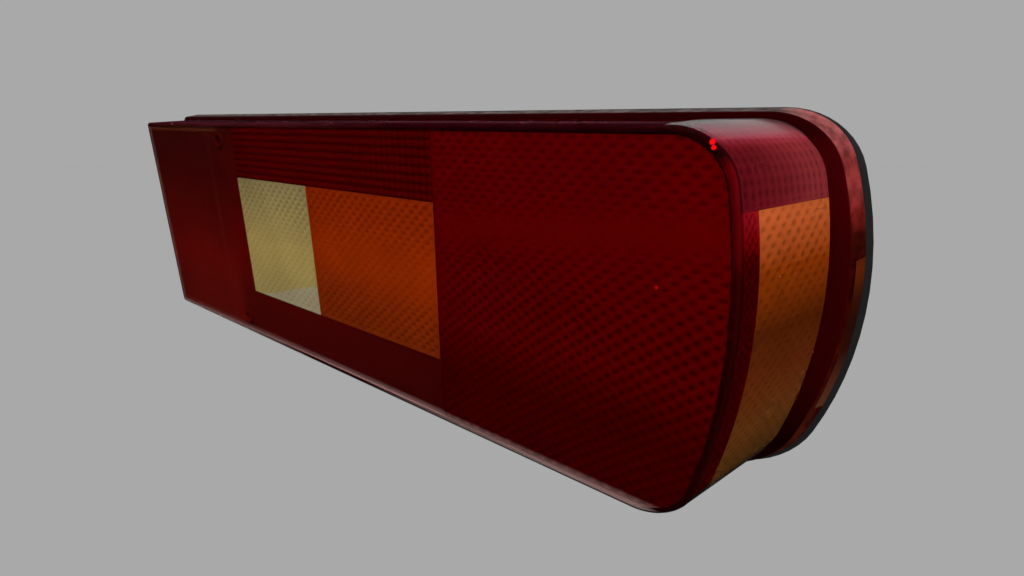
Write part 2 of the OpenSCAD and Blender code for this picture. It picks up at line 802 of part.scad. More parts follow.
module strip_bar(x0, x1, z0, z1) {
    box([min(x0, x1), carrier_back, min(z0, z1)], [max(x0, x1), carrier_back + strip_t, max(z0, z1)]);
}

module blade(i) {
    reach = shroud_d - 4;
    box([blade_x(i) - blade_w / 2, carrier_back, -0.4],
        [blade_x(i) + blade_w / 2, carrier_back + reach, 0.4]);
}

// From blade i down to a lane, along it, and up to a pad under the contact at x
module feed(i, x, lane) {
    z = lane_z - lane * lane_pitch;
    blade(i);
    strip_bar(blade_x(i) - lane_w / 2, blade_x(i) + lane_w / 2, z - lane_w / 2, 0.4);
    strip_bar(blade_x(i), x, z - lane_w / 2, z + lane_w / 2);
    strip_bar(x - lane_w / 2, x + lane_w / 2, z - lane_w / 2, 0);
    translate([x, carrier_back + strip_t, 0]) rotate([90, 0, 0])
        cylinder(h = strip_t, r = stop_contact - 0.4, $fn = 32);
}

module reverse_strip() color("goldenrod") feed(0, reverse_bulb_x, 0);
module fog_strip() color("goldenrod") feed(1, fog_x, 1);
module side_strip() color("goldenrod") feed(3, side_x, 3);
module tail_strip() color("goldenrod") feed(4, stop_x + stop_contact, 2);
module stop_strip() color("goldenrod") feed(5, stop_x - stop_contact, 1);
module indicator_strip() color("goldenrod") feed(6, indicator_x, 0);

module ground_strip() {
    top = -lane_z;
    color("goldenrod") {
        blade(2);
        strip_bar(blade_x(2) - lane_w / 2, blade_x(2) + lane_w / 2, -0.4, top + lane_w / 2);
        strip_bar(fog_x - tongue_w / 2, side_x + tongue_w / 2, top - lane_w / 2, top + lane_w / 2);
        for (x = large_bulbs) tongue(x, cap_r, top);
        tongue(side_x, side_cap_r, top);
    }
}

// Spring tongue that bends forward along the side of a cap
module tongue(x, cap, top) {
    z = cap + 0.1;
    strip_bar(x - tongue_w / 2, x + tongue_w / 2, z, top);
    box([x - tongue_w / 2, carrier_back - cap_len * 0.7, z],
        [x + tongue_w / 2, carrier_back + strip_t, z + tongue_t]);
}

module vent_cap() {
    color("#1c1c1c")
        difference() {
            bar_y(vent_x, vent_z, vent_r + 1.4, tub_d + 0.4, tub_d + 8);
            bar_y(vent_x, vent_z, vent_r + 0.02, tub_d - bite, tub_d + 6.2);
        }
}

lens();
reverse_window();
indicator_window();
side_window();
lens_seal();
lens_screws();
housing();
body_gasket();
mounting_studs();
reflector_tray();
carrier_seal();
bulb_carrier();
fog_bulb_glass();
fog_bulb_cap();
fog_bulb_filament();
reverse_bulb_glass();
reverse_bulb_cap();
reverse_bulb_filament();
indicator_bulb_glass();
indicator_bulb_cap();
indicator_bulb_filament();
stop_bulb_glass();
stop_bulb_cap();
stop_bulb_filament();
side_bulb_glass();
side_bulb_cap();
side_bulb_filament();
ground_strip();
reverse_strip();
fog_strip();
side_strip();
tail_strip();
stop_strip();
indicator_strip();
vent_cap();
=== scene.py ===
"""Right-hand tail light cluster: moulded lens with its optics, windows and rim, and the housing behind it."""

import math

import bpy
import numpy as np
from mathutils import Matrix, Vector


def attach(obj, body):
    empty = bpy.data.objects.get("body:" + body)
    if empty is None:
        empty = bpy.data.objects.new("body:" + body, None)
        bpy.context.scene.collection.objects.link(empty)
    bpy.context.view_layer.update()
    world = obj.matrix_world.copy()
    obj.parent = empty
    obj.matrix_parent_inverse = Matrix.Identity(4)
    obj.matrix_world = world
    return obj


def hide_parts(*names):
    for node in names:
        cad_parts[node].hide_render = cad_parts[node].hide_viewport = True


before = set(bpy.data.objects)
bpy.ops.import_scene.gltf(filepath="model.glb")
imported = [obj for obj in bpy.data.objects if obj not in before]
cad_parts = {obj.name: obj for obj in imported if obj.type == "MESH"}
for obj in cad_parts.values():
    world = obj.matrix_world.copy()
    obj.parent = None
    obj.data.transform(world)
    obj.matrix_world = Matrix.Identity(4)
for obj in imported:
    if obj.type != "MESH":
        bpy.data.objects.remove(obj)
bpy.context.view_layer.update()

MM = 0.001

# Sizes of the lamp in millimetres, as in the solids: X to the outer side, Y into the body, Z up

FACE_W, FACE_H = 405.0, 133.7
FACE_X0, FACE_X1, FACE_TOP = -FACE_W / 2, FACE_W / 2, FACE_H / 2
# Depth of the wall at the two ends, which slopes the face
DEPTH_IN, DEPTH_OUT = 27.5, 51.8
FACE_SLOPE = (DEPTH_OUT - DEPTH_IN) / FACE_W
# The housing's front, on which the rim stands, and the front of the lens's flange
PLATE_Y, FLANGE_Y = -7.0, -15.0
# What the wall gains on its way back to the flange: outboard, inboard, and both up and down
FLARE_OUT, FLARE_IN, FLARE_Z = 19.3, 2.6, 1.5
WALL_TOP = FACE_TOP + FLARE_Z
# The flange past the wall, outboard and elsewhere, with its thickness and its rounded edge
FLANGE_OUT, FLANGE_W, FLANGE_T, FLANGE_R = 6.0, 2.3, 2.5, 0.8
# The rim past the flange. Outboard it stands 1.2 mm further out than in the solids, inside the housing's edge
RIM_OUT, RIM_SIDE, RIM_WALL, RIM_R = 3.9, 1.2, 2.4, 0.3
SKIRT_Y, SKIRT_H = FLANGE_Y + FLANGE_R, 7.0
# Bowed outboard side: radii for face, wall and flange, and the height of their centre
BOW_R, WALL_BOW_R, FLANGE_BOW_R, BOW_Z = 228.0, 190.0, 155.0, 1.5
# Corners of the face, the least radius when moved inward, and how much larger the other outlines have them
HIGH_R, LOW_R, INBOARD_R, LEAST_R = 21.5, 22.6, 2.5, 0.4
WALL_MORE, FLANGE_MORE, RIM_MORE = (5, 3, 0), (11, 5, 2), (12, 4, 3)
# Rounded edge of the face, and how far the lens's inner side lies behind the face and inside the wall
EDGE_R, BACK_INSET = 1.6, 3.2

WINDOW_TOP, WINDOW_LOW = FACE_TOP - 31.3, FACE_TOP - 31.3 - 70.6
REVERSE_X0 = FACE_X0 + 119.6
INDICATOR_X0 = REVERSE_X0 + 70.6
INDICATOR_X1 = INDICATOR_X0 + 92.0
# Where the stop lamp starts, past a web, and the width of its plain border
STOP_X0, STOP_BORDER = INDICATOR_X1 + 1.6, 3.0
SIDE_SETBACK, SIDE_TOP = 9.0, FACE_TOP - 23.4
STRIP_TOP, STRIP_LOW = FACE_TOP - 40.5, FACE_TOP - 40.5 - 64.0

WELL_X, WELL_Z, WELL_R = FACE_X0 + 103.5, FACE_TOP - 10.4, 3.3
WELL_WALL, WELL_END, WELL_FLOOR = 1.0, PLATE_Y - 5.0, PLATE_Y - 7.0
# The cutter of a well, from before the face to behind it
WELL_CUT = (-80, -20)
SCREW_HOLE_R, PILOT_R = 2.05, 1.9
BOSS_X, BOSS_Z, BOSS_R = FACE_X1 + FLARE_OUT - 7.0, 40.0, 4.0

# The lens is drawn as a clear outer layer over coloured optics, with a small gap between their fields
SKIN_T = 0.35
UNDER = SKIN_T + 0.05
CREST = SKIN_T + 0.06
OPTIC_H = 0.75
OPTIC_FLOOR = CREST + OPTIC_H + 0.05
GAP = 0.1
# Share of their height at which the optics are level between their pits and peaks
LEVEL = 0.8
# The optics of the wall lie outboard of this, and the plain border of the face is LAND wide
OPTICS_X, LAND = FACE_X1 - HIGH_R - 1, 2.6

# One diamond of the optics, across and up: on the face, in the side window, and in the strip beside it
CELL_W, CELL_H = 5.79, 5.0
WALL_CELL_W, WALL_CELL_H = 5.5, 5.3
FACET_W, FACET_H = 3.0, 3.6
# Grid lines to a diamond
CELL_STEPS = 8
# Upright grooves of the wall above the side window, and the level flutes above the other two
COLUMN_W, COLUMN_H = 3.5, 3.6
FLUTE_PITCH, FLUTE_W, FLUTES, FLUTE_LIFT = 3.58, 3.9, 8, 0.3


def linear(hex_colour):
    """A colour written as sRGB hex, as the linear values that a socket takes."""
    parts = [int(hex_colour[i:i + 2], 16) / 255 for i in (1, 3, 5)]
    return tuple(c / 12.92 if c <= 0.04045 else ((c + 0.055) / 1.055) ** 2.4 for c in parts) + (1.0,)


# Outlines


def face_y(x):
    """Depth of the front of the face at x."""
    return FLANGE_Y - DEPTH_IN - FACE_SLOPE * (x - FACE_X0)


def arc(cx, cz, r, a0, a1, n, first=0, last=None):
    """Points first to last of an arc of n steps, from the angle a0 to a1."""
    last = n if last is None else last
    angles = np.radians(a0 + (a1 - a0) * np.arange(first, last + 1) / n)
    return np.stack([cx + r * np.cos(angles), cz + r * np.sin(angles)], axis=1)


def bowed(x0, x1, half, bow_r, low_r, high_r, in_r, corner=20, bow=32, inner=6):
    """Upright outline with a bowed outboard side, anticlockwise from the lower inboard corner."""
    cx = x1 - bow_r
    low_z, high_z = low_r - half, half - high_r
    low_x = cx + math.sqrt((bow_r - low_r) ** 2 - (low_z - BOW_Z) ** 2)
    high_x = cx + math.sqrt((bow_r - high_r) ** 2 - (high_z - BOW_Z) ** 2)
    low_a = math.degrees(math.atan2(low_z - BOW_Z, low_x - cx))
    high_a = math.degrees(math.atan2(high_z - BOW_Z, high_x - cx))
    return np.concatenate([
        arc(x0 + in_r, in_r - half, in_r, 180, 270, inner),
        arc(low_x, low_z, low_r, -90, low_a, corner),
        arc(cx, BOW_Z, bow_r, low_a, high_a, bow, 1, bow - 1),
        arc(high_x, high_z, high_r, high_a, 90, corner),
        arc(x0 + in_r, half - in_r, in_r, 90, 180, inner),
    ])


def lens_line(side, outboard, up, bow_r, more, inset, **steps):
    """An outline of the lens: past the face by side, outboard and up, with the lower, upper and inboard
    corners larger by more, and then moved inward by inset."""
    return bowed(FACE_X0 - side + inset, FACE_X1 + outboard - inset, FACE_TOP + up - inset, bow_r - inset,
                 LOW_R + more[0] - inset, HIGH_R + more[1] - inset, max(INBOARD_R + more[2] - inset, LEAST_R),
                 **steps)


def face_line(inset, **steps):
    """Outline of the flat face."""
    return lens_line(0.0, 0.0, 0.0, BOW_R, (0, 0, 0), inset, **steps)


def wall_line(inset, **steps):
    """Outline of the wall where it meets the flange."""
    return lens_line(FLARE_IN, FLARE_OUT, FLARE_Z, WALL_BOW_R, WALL_MORE, inset, **steps)


def flange_line(inset):
    """Outline of the flange."""
    side, outboard, up = FLARE_IN + FLANGE_W, FLARE_OUT + FLANGE_OUT, FLARE_Z + FLANGE_W
    return lens_line(side, outboard, up, FLANGE_BOW_R, FLANGE_MORE, inset)


def rim_line(inset):
    """Outline of the rim where it meets the housing."""
    side, up = FLARE_IN + FLANGE_W + RIM_SIDE, FLARE_Z + FLANGE_W + RIM_SIDE
    return lens_line(side, FLARE_OUT + FLANGE_OUT + RIM_OUT, up, FLANGE_BOW_R, RIM_MORE, inset)


def flat_ring(line, y):
    """An outline at one depth."""
    return np.column_stack([line[:, 0], np.full(len(line), y), line[:, 1]])


def face_ring(line, back):
    """An outline that follows the slope of the face, at a distance behind it."""
    return np.column_stack([line[:, 0], face_y(line[:, 0]) + back, line[:, 1]])


# Making pieces


def new_piece(name, verts, faces, materials, indices=None, sharp=30):
    """A mesh piece from points in millimetres, smooth except where faces meet at more than sharp degrees."""
    mesh = bpy.data.meshes.new(name)
    points = [tuple(v) for v in np.asarray(verts) * MM]
    mesh.from_pydata(points, [], [tuple(int(i) for i in f) for f in faces])
    for m in materials:
        mesh.materials.append(m)
    if indices is not None:
        mesh.polygons.foreach_set("material_index", np.asarray(indices, dtype=np.int32))
    mesh.shade_smooth()
    mesh.set_sharp_from_angle(angle=math.radians(sharp))
    mesh.validate()
    piece = bpy.data.objects.new(name, mesh)
    bpy.context.scene.collection.objects.link(piece)
    return piece


def skin(rings, closed=False):
    """Points and faces of the solid through rings of the same length. A closed one joins its last ring to the
    first, and any other gets two flat ends."""
    n, count = len(rings[0]), len(rings)
    verts = np.concatenate(rings)
    faces = []
    for k in range(count if closed else count - 1):
        a, b = k * n, ((k + 1) % count) * n
        faces += [(a + i, b + i, b + (i + 1) % n, a + (i + 1) % n) for i in range(n)]
    if not closed:
        faces.append(tuple(range(n)))
        faces.append(tuple(range((count - 1) * n + n - 1, (count - 1) * n - 1, -1)))
    return verts, faces


def dress(piece, slot, *nodes):
    """Rides on the lamp's one body and stands for the given solids. slot is not used."""
    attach(piece, "root")
    if nodes:
        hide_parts(*nodes)


def cylinder(name, x, z, r, y0, y1, steps=48):
    """Round bar along Y, for cutting holes."""
    ring = arc(x, z, r, 0, 360, steps, 0, steps - 1)
    verts, faces = skin([flat_ring(ring, y0), flat_ring(ring, y1)])
    return new_piece(name, verts, faces, [])


def cut(piece, cutters):
    """Takes the cutters out of the piece and deletes them."""
    for c in cutters:
        m = piece.modifiers.new("hole", "BOOLEAN")
        m.operation, m.solver, m.object = "DIFFERENCE", "EXACT", c
        bpy.context.view_layer.update()
        done = bpy.data.meshes.new_from_object(piece.evaluated_get(bpy.context.evaluated_depsgraph_get()))
        piece.modifiers.clear()
        old, piece.data = piece.data, done
        bpy.data.meshes.remove(old)
        bpy.data.objects.remove(c)
    piece.data.set_sharp_from_angle(angle=math.radians(30))


# Materials


def add(tree, kind, inputs=(), out=None, stops=(), **settings):
    """Adds a node with its settings and feeds its inputs, which are given in order or by name. Each takes
    another node's output, a hex colour or a number. Gives back the named output, or else the first in use."""
    node = tree.nodes.new("ShaderNode" + kind)
    for key, value in settings.items():
        setattr(node, key, value)
    in_use = [socket for socket in node.inputs if socket.enabled]
    for key, value in inputs.items() if isinstance(inputs, dict) else enumerate(inputs):
        socket = node.inputs[key] if isinstance(key, str) else in_use[key]
        if isinstance(value, bpy.types.NodeSocket):
            tree.links.new(value, socket)
        else:
            socket.default_value = linear(value) if isinstance(value, str) else value
    for k, (where, hex_colour) in enumerate(stops):
        stop = node.color_ramp.elements[k] if k < 2 else node.color_ramp.elements.new(where)
        stop.position, stop.color = where, linear(hex_colour)
    return node.outputs[out] if out else next((s for s in node.outputs if s.enabled), None)


def material(name):
    """An empty node material and its tree."""
    m = bpy.data.materials.new(name)
    m.use_nodes = True
    m.node_tree.nodes.clear()
    return m, m.node_tree


def patches(tree, size_mm, detail=2.0):
    """How uneven a finish is at each point, 0 to 1, in patches about size_mm across."""
    place = add(tree, "TexCoord", out="Object")
    return add(tree, "TexNoise", {"Vector": place, "Scale": 1000.0 / size_mm, "Detail": detail})


def along(tree, axis, start, end):
    """0 to 1 between two places on an axis, in millimetres."""
    place = add(tree, "TexCoord", out="Object")
    here = add(tree, "SeparateXYZ", [place], out=axis)
    return add(tree, "MapRange", [here, start * MM, end * MM, 0.0, 1.0])


def from_below(tree):
    """Where a point lies between the bottom and the top of the lens, 0 to 1."""
    return along(tree, "Z", -WALL_TOP, WALL_TOP)


def inside_plastic(name, tone, ior=1.0, patch_mm=30.0, low=0.94, high=1.06):
    """Plastic seen through the polished outer layer, so that it hardly shines itself. Its tone drifts in
    patches."""
    m, tree = material(name)
    drift = add(tree, "MapRange", [patches(tree, patch_mm), 0.35, 0.65, low, high])
    colour = add(tree, "VectorMath", [tone(tree), drift], operation="SCALE")
    shader = add(tree, "BsdfPrincipled", {"Base Color": colour, "IOR": ior, "Roughness": 0.45})
    add(tree, "OutputMaterial", [shader])
    return m


def optics(name, stops, pit, peak=1.0, over=None):
    """Optics moulded inside the plastic: painted shade darkens the pits by the factor pit, painted highlights
    brighten the peaks by the factor peak, over a tone that changes from bottom to top. over may lay another
    tone on it."""
    def tone(tree):
        colour = add(tree, "ValToRGB", [from_below(tree)], stops=stops)
        if over:
            colour = over(tree, colour)
        # Painted shade in the pits and painted highlights on the peaks, from the height of the optics
        relief = add(tree, "Attribute", out="Fac", attribute_name="relief")
        darker = add(tree, "MapRange", [relief, 0.1, LEVEL, pit, 1.0])
        brighter = add(tree, "MapRange", [relief, LEVEL + 0.02, 1.0, 1.0, peak])
        factor = add(tree, "Math", [darker, brighter], operation="MULTIPLY")
        return add(tree, "VectorMath", [colour, factor], operation="SCALE")
    return inside_plastic(name, tone)


def shaded_by_height(name, stops, ior):
    """Plain red or amber plastic whose tone changes from bottom to top, by stops that paint its light and
    shade.
    """
    return inside_plastic(name, lambda tree: add(tree, "ValToRGB", [from_below(tree)], stops=stops), ior)


def plastic(name, low, high, roughness, patch_mm, grain_mm, grain_depth, look):
    """Moulded plastic or rubber: colour that drifts in patches, and the grain of the mould. The real grain is
    about 0.2 mm, and it is drawn coarser, so that it shows."""
    m, tree = material(name)
    drift = add(tree, "MapRange", [patches(tree, patch_mm), 0.35, 0.65, 0.0, 1.0])
    grain = patches(tree, grain_mm, 3.0)
    bump = add(tree, "Bump", {"Strength": 1.0, "Distance": grain_depth * MM, "Height": grain})
    shader = add(tree, "BsdfPrincipled", {
        "Base Color": add(tree, "Mix", [drift, low, high], data_type="RGBA"),
        "Roughness": add(tree, "MapRange", [grain, 0.3, 0.7, *roughness]),
        "Normal": bump, **look})
    add(tree, "OutputMaterial", [shader])
    return m


def metal(name, low, high, roughness, patch_mm):
    """Plated, stamped or metallised metal with a finish that varies in patches."""
    m, tree = material(name)
    finish = patches(tree, patch_mm, 4.0)
    drift = add(tree, "MapRange", [finish, 0.3, 0.7, 0.0, 1.0])
    shader = add(tree, "BsdfPrincipled", {
        "Metallic": 1.0, "Base Color": add(tree, "Mix", [drift, low, high], data_type="RGBA"),
        "Roughness": add(tree, "MapRange", [finish, 0.3, 0.7, *roughness])})
    add(tree, "OutputMaterial", [shader])
    return m


def lit_corner(tree):
    """1 at the upper outboard corner of the wall, just behind the edge of the face, and 0 elsewhere."""
    edge_y = face_y(LIT_X[1])
    lit = add(tree, "Math", [along(tree, "Z", *LIT_Z), along(tree, "X", *LIT_X)], operation="MULTIPLY")
    back = along(tree, "Y", edge_y + LIT_BACK[0], edge_y + LIT_BACK[1])
    return add(tree, "Math", [lit, back], operation="MULTIPLY")


def clear(name, tint, roughness, ior, wall_ior=None):
    """Clear polished plastic or glass. Lamps shine through it to what is behind. With wall_ior, it shines by
    that only, but for the upper outboard corner, which mirrors the light from above."""
    m, tree = material(name)
    if wall_ior:
        ior = add(tree, "MapRange", [lit_corner(tree), 0.0, 1.0, wall_ior, ior])
    haze = add(tree, "MapRange", [patches(tree, 14.0), 0.3, 0.7, *roughness])
    glass = add(tree, "BsdfPrincipled", {
        "Base Color": tint, "IOR": ior, "Transmission Weight": 1.0, "Roughness": haze})
    through = add(tree, "BsdfTransparent", [tint])
    shadow = add(tree, "LightPath", out="Is Shadow Ray")
    add(tree, "OutputMaterial", [add(tree, "MixShader", [shadow, glass, through])])
    return m


# Tones of the red plastic, by place

# Where light from above catches the polished wall, in millimetres: up, along, and back from the face
LIT_Z, LIT_X, LIT_BACK = (62.0, 67.5), (174.0, 190.0), (2.0, 4.5)
# The fog chamber's partition, and the faint seam beside it
FOG_X1, SEAM_X = FACE_X0 + 96.5, FACE_X0 + 86.9
# The floor of the reverse chamber shows from this far inside the window, and rises by this much across it
CHAMBER_SETBACK, CHAMBER_RISE = 8.0, 17.5
# Tone of the stop lamp, from bottom to top, with painted shade that darkens its lower part
STOP_TONE_WITH_SHADE = ((0.0, "#3e0000"), (0.22, "#400000"), (0.4, "#5e0000"), (1.0, "#640001"))


def painted_floor_reflection(tree, colour):
    """Painted reflection of the floor: a pale tone laid over the lowest few millimetres of the face, most of
    all near the outboard end.
    """
    low = along(tree, "Z", -FACE_TOP + 5.8, -FACE_TOP + 2.8)
    share = add(tree, "Math", [low, along(tree, "X", -240.0, 40.0)], operation="MULTIPLY")
    return add(tree, "Mix", [share, colour, "#8a6b68"], data_type="RGBA")


def edge_tone(tree):
    """Painted light and shade of the edge: painted shade round the upper corner, a deep red painted light
    beside the side window's top, and painted shade again below.
    """
    return add(tree, "ValToRGB", [from_below(tree)], stops=(
        (0.0, "#1e0001"), (0.49, "#200001"), (0.69, "#300001"), (0.74, "#480002"), (0.9, "#520004"),
        (0.93, "#180001"), (1.0, "#1c0002")))


def chamber_tones(tree):
    """Brown over the fog chamber, with its pale upper wall, and a purer red around the windows."""
    up = from_below(tree)
    brown = add(tree, "ValToRGB", [up], stops=(
        (0.0, "#62120b"), (0.35, "#6d0e08"), (0.5, "#5c0b05"), (0.76, "#440604"), (0.945, "#3e0806"),
        (0.955, "#5d2a15"), (1.0, "#4d2a1d")))
    deep = add(tree, "ValToRGB", [up], stops=(
        (0.0, "#480705"), (0.2, "#520806"), (0.4, "#660703"), (0.5, "#5f0603"), (0.65, "#4f0504"),
        (1.0, "#3e0604")))
    darker = add(tree, "MapRange", [along(tree, "X", -60.0, 75.0), 0.0, 1.0, 1.0, 0.66])
    deep = add(tree, "VectorMath", [deep, darker], operation="SCALE")
    return add(tree, "Mix", [along(tree, "X", FOG_X1 + 8.0, FOG_X1), deep, brown], data_type="RGBA")


def with_seam_and_web(tree, tone):
    """Lays the faint seam over the fog chamber, and the brighter web between the flutes and the stop lamp."""
    sides = [along(tree, "X", SEAM_X + s * 1.4, SEAM_X + s * 0.2) for s in (-1, 1)]
    seam = add(tree, "Math", sides, operation="MULTIPLY")
    faint = add(tree, "MapRange", [seam, 0.0, 1.0, 0.0, 0.12])
    tone = add(tree, "Mix", [faint, tone, "#8a3a30"], data_type="RGBA")
    ends = [along(tree, "X", INDICATOR_X1 - 0.1, INDICATOR_X1 + 0.1),
            along(tree, "X", STOP_X0 + 0.8, STOP_X0 + 0.4)]
    web = add(tree, "Math", ends, operation="MULTIPLY")
    bright = add(tree, "ValToRGB", [from_below(tree)], stops=STOP_TONE_WITH_SHADE)
    return add(tree, "Mix", [web, tone, bright], data_type="RGBA")


def face_red(tree):
    """Tone of the plain parts of the face, with painted light: a painted highlight at the inboard end, a
    painted reflection of the floor along the bottom, and painted shade beside the outboard edge and above the
    stop lamp."""
    tone = with_seam_and_web(tree, chamber_tones(tree))
    # Painted highlight at the inboard end, then the painted reflection of the floor along the bottom
    end = along(tree, "X", FACE_X0 + 6.0, FACE_X0)
    end = add(tree, "Math", [end, end], operation="MULTIPLY")
    tone = painted_floor_reflection(tree, add(tree, "Mix", [end, tone, "#9a7a72"], data_type="RGBA"))
    # Painted shade beside the outboard edge and above the stop lamp
    dark = edge_tone(tree)
    outboard = along(tree, "X", FACE_X1 - 3.0, FACE_X1 - 1.8)
    tone = add(tree, "Mix", [outboard, tone, dark], data_type="RGBA")
    above = [along(tree, "X", 90.0, 150.0), along(tree, "Z", FACE_TOP - 3.2, FACE_TOP - 2.4)]
    corner = add(tree, "Math", above, operation="MULTIPLY")
    return add(tree, "Mix", [corner, tone, dark], data_type="RGBA")


def painted_top_reflection(tree):
    """Painted reflection on the plain wall above the face: purple over the inboard half, greyer over the stop
    lamp.
    """
    edge_up = along(tree, "Z", FACE_TOP - 1.2, FACE_TOP + 0.4)
    purple = add(tree, "Mix", [edge_up, "#380a10", "#241018"], data_type="RGBA")
    wall_up = along(tree, "Z", FACE_TOP - 0.4, FACE_TOP + 0.8)
    grey = add(tree, "Mix", [wall_up, "#1e0003", "#40242a"], data_type="RGBA")
    return add(tree, "Mix", [along(tree, "X", -20.0, 60.0), purple, grey], data_type="RGBA")


def edge_red(tree):
    """Tone of the edge of the face and the plain walls, with painted highlights: pale along the lower edge
    and at the inboard end, where they would catch the floor."""
    inboard = along(tree, "X", 182.0, 165.0)
    tone = add(tree, "Mix", [inboard, edge_tone(tree), painted_top_reflection(tree)], data_type="RGBA")
    ends = [along(tree, "X", 20.0, 140.0), along(tree, "X", -30.0, -110.0)]
    ends = add(tree, "Math", ends, operation="MAXIMUM")
    # Painted reflection of the floor along the lower edge
    low = add(tree, "Math", [along(tree, "Z", -62.8, -64.8), ends], operation="MULTIPLY")
    tone = add(tree, "Mix", [low, tone, "#a08a86"], data_type="RGBA")
    # Painted highlight at the inboard end
    end = along(tree, "X", FACE_X0 + 2.0, FACE_X0 + 0.5)
    return add(tree, "Mix", [end, tone, "#5c3a34"], data_type="RGBA")


def rim_red(tree):
    """Tone of the skirt of the rim, painted light: paler than the flange, as for light that runs along the
    plastic into it, brightest high up, with a grey-brown painted highlight everywhere but outboard.
    """
    side = add(tree, "ValToRGB", [from_below(tree)], stops=(
        (0.0, "#3c1a12"), (0.3, "#3a0a04"), (0.6, "#2c0402"), (0.73, "#2f0804"), (0.78, "#671915"),
        (0.84, "#792b29"), (0.9, "#742829"), (1.0, "#8a4a48")))
    # Grey-brown painted highlight everywhere but on the outboard side
    return add(tree, "Mix", [along(tree, "X", 208.0, 196.0), side, "#4f4644"], data_type="RGBA")


def painted_light_and_shade_on_wall(tree, colour):
    """Painted light and shade on the wall: painted shade near the face, where no chamber lies behind it, and
    a paler, greyer painted light near the flange.
    """
    back = along(tree, "Y", face_y(205.0) + 4.0, FLANGE_Y - 10.0)
    share = add(tree, "MapRange", [back, 0.0, 1.0, 0.0, 0.6])
    greyer = add(tree, "Mix", [share, colour, "#6e2a2c"], data_type="RGBA")
    darker = add(tree, "VectorMath", [colour, 0.64], operation="SCALE")
    return add(tree, "Mix", [back, darker, greyer], data_type="RGBA")


def chamber_floor(tree, colour):
    """The grey floor of the reverse chamber shows through the window's lower corner, below a slanted line."""
    start = REVERSE_X0 + CHAMBER_SETBACK
    slope = CHAMBER_RISE / (INDICATOR_X0 - start)
    place = add(tree, "TexCoord", out="Object")
    x, z = (add(tree, "SeparateXYZ", [place], out=axis) for axis in "XZ")
    line = add(tree, "Math", [x, slope, (WINDOW_LOW - slope * start) * MM], operation="MULTIPLY_ADD")
    under = add(tree, "Math", [line, z], operation="SUBTRACT")
    share = add(tree, "MapRange", [under, 0.0, 1.5 * MM, 0.0, 1.0])
    return add(tree, "Mix", [share, colour, "#afa988"], data_type="RGBA")


# Injection-moulded acrylic, polished outside: hardly any colour of its own, and a sharp faint shine
CLEAR_LAYER = clear("polished acrylic layer", "#fbf7f6", (0.02, 0.06), 1.3)
# The same on the walls, where the shine is soft and shows at the upper corner only
CLEAR_WALL = clear("polished acrylic layer of the walls", "#fbf7f6", (0.2, 0.28), 1.3, 1.0)
# Red acrylic over the chambers: a deep red that takes its tone from what lies behind, uneven in wide patches,
# with a painted highlight at the inboard end, a painted reflection of the floor along the bottom and painted
# shade by the outboard edge
RED = inside_plastic("moulded red acrylic", face_red, 1.0, 45.0, 0.93, 1.07)
# Red acrylic seen against the dark chamber walls: painted shade makes it almost black at the edges, with
# painted reflections of the floor below and of the light from above on the top wall
RED_EDGE = inside_plastic("red acrylic edge", edge_red)
# Thick solid flange: darker than the face, since no light comes from behind, painted lighter and darker with
# height as light and shade, with a weak shine
RED_FLANGE = shaded_by_height("red acrylic flange", (
    (0.13, "#160000"), (0.21, "#230001"), (0.35, "#2f0001"), (0.73, "#350001"), (0.8, "#3e0003"),
    (0.93, "#3b0002"), (0.97, "#280001")), 1.06)
# Diamonds inside the plastic, with painted shade in their pits, painted highlights on the lowest rows' peaks,
# painted shade at the bottom, where less light comes in, and a painted reflection of the floor along the
# bottom edge
RED_OPTICS = optics("moulded red optics", STOP_TONE_WITH_SHADE, 0.3, 1.5, over=painted_floor_reflection)
# Level flutes: red crests, with painted shade that makes the lines between them almost black
FLUTE_OPTICS = optics("moulded red flutes", ((0.0, "#5e0001"), (1.0, "#5e0001")), 0.15)
# Amber diamonds: a warm orange, painted a little darker and browner towards the bottom as shade, with soft
# painted shade in the pits
AMBER_OPTICS = optics("moulded amber optics", (
    (0.25, "#7c2b06"), (0.5, "#9c3204"), (0.74, "#952b04")), 0.6)
# Clear diamonds before the reflector: a yellowed cream, painted brightest at the middle and darker above and
# below as light and shade, with painted shade in the pits and the grey chamber floor in the lower corner
CREAM_OPTICS = optics("moulded clear optics", (
    (0.25, "#ae9f60"), (0.5, "#b8a763"), (0.74, "#9d9060")), 0.75, over=chamber_floor)
# Grooved wall above the side window: crimson with painted shade in its grooves, turning to a pink painted
# highlight towards the top, where light from above comes in, and painted light and shade from the face back
# to the flange
SIDE_RED_OPTICS = optics("moulded red optics of the wall", (
    (0.0, "#460002"), (0.8, "#600e18"), (0.93, "#540c14"), (0.945, "#62121a"), (0.957, "#842638"),
    (0.972, "#843444"), (0.99, "#5e2030")), 0.58, over=painted_light_and_shade_on_wall)
# Side window: amber with painted light, orange above, where light from above falls, brown at the middle and a
# painted olive reflection at the bottom, with painted shade in its fine dark dots
SIDE_AMBER_OPTICS = optics("moulded amber optics of the wall", (
    (0.0, "#302d10"), (0.12, "#442c12"), (0.26, "#573112"), (0.42, "#512109"), (0.53, "#421903"),
    (0.68, "#6b2a04"), (0.8, "#984a24")), 0.5)
# Plain red strip between the face and the side window, with fine facets: painted light beside the window's
# top, painted shade below it and in the facets' pits
SIDE_LAND_OPTICS = optics("moulded red land of the wall", (
    (0.0, "#360000"), (0.66, "#320001"), (0.72, "#3e0001"), (0.76, "#620205"), (0.8, "#730a14")), 0.42)
# Rough-moulded inner side of the rim: mottled in patches of a few millimetres, over painted light that makes
# it paler than the flange
RED_RIM = inside_plastic("red acrylic rim", rim_red, 1.0, 5.0, 0.55, 1.3)
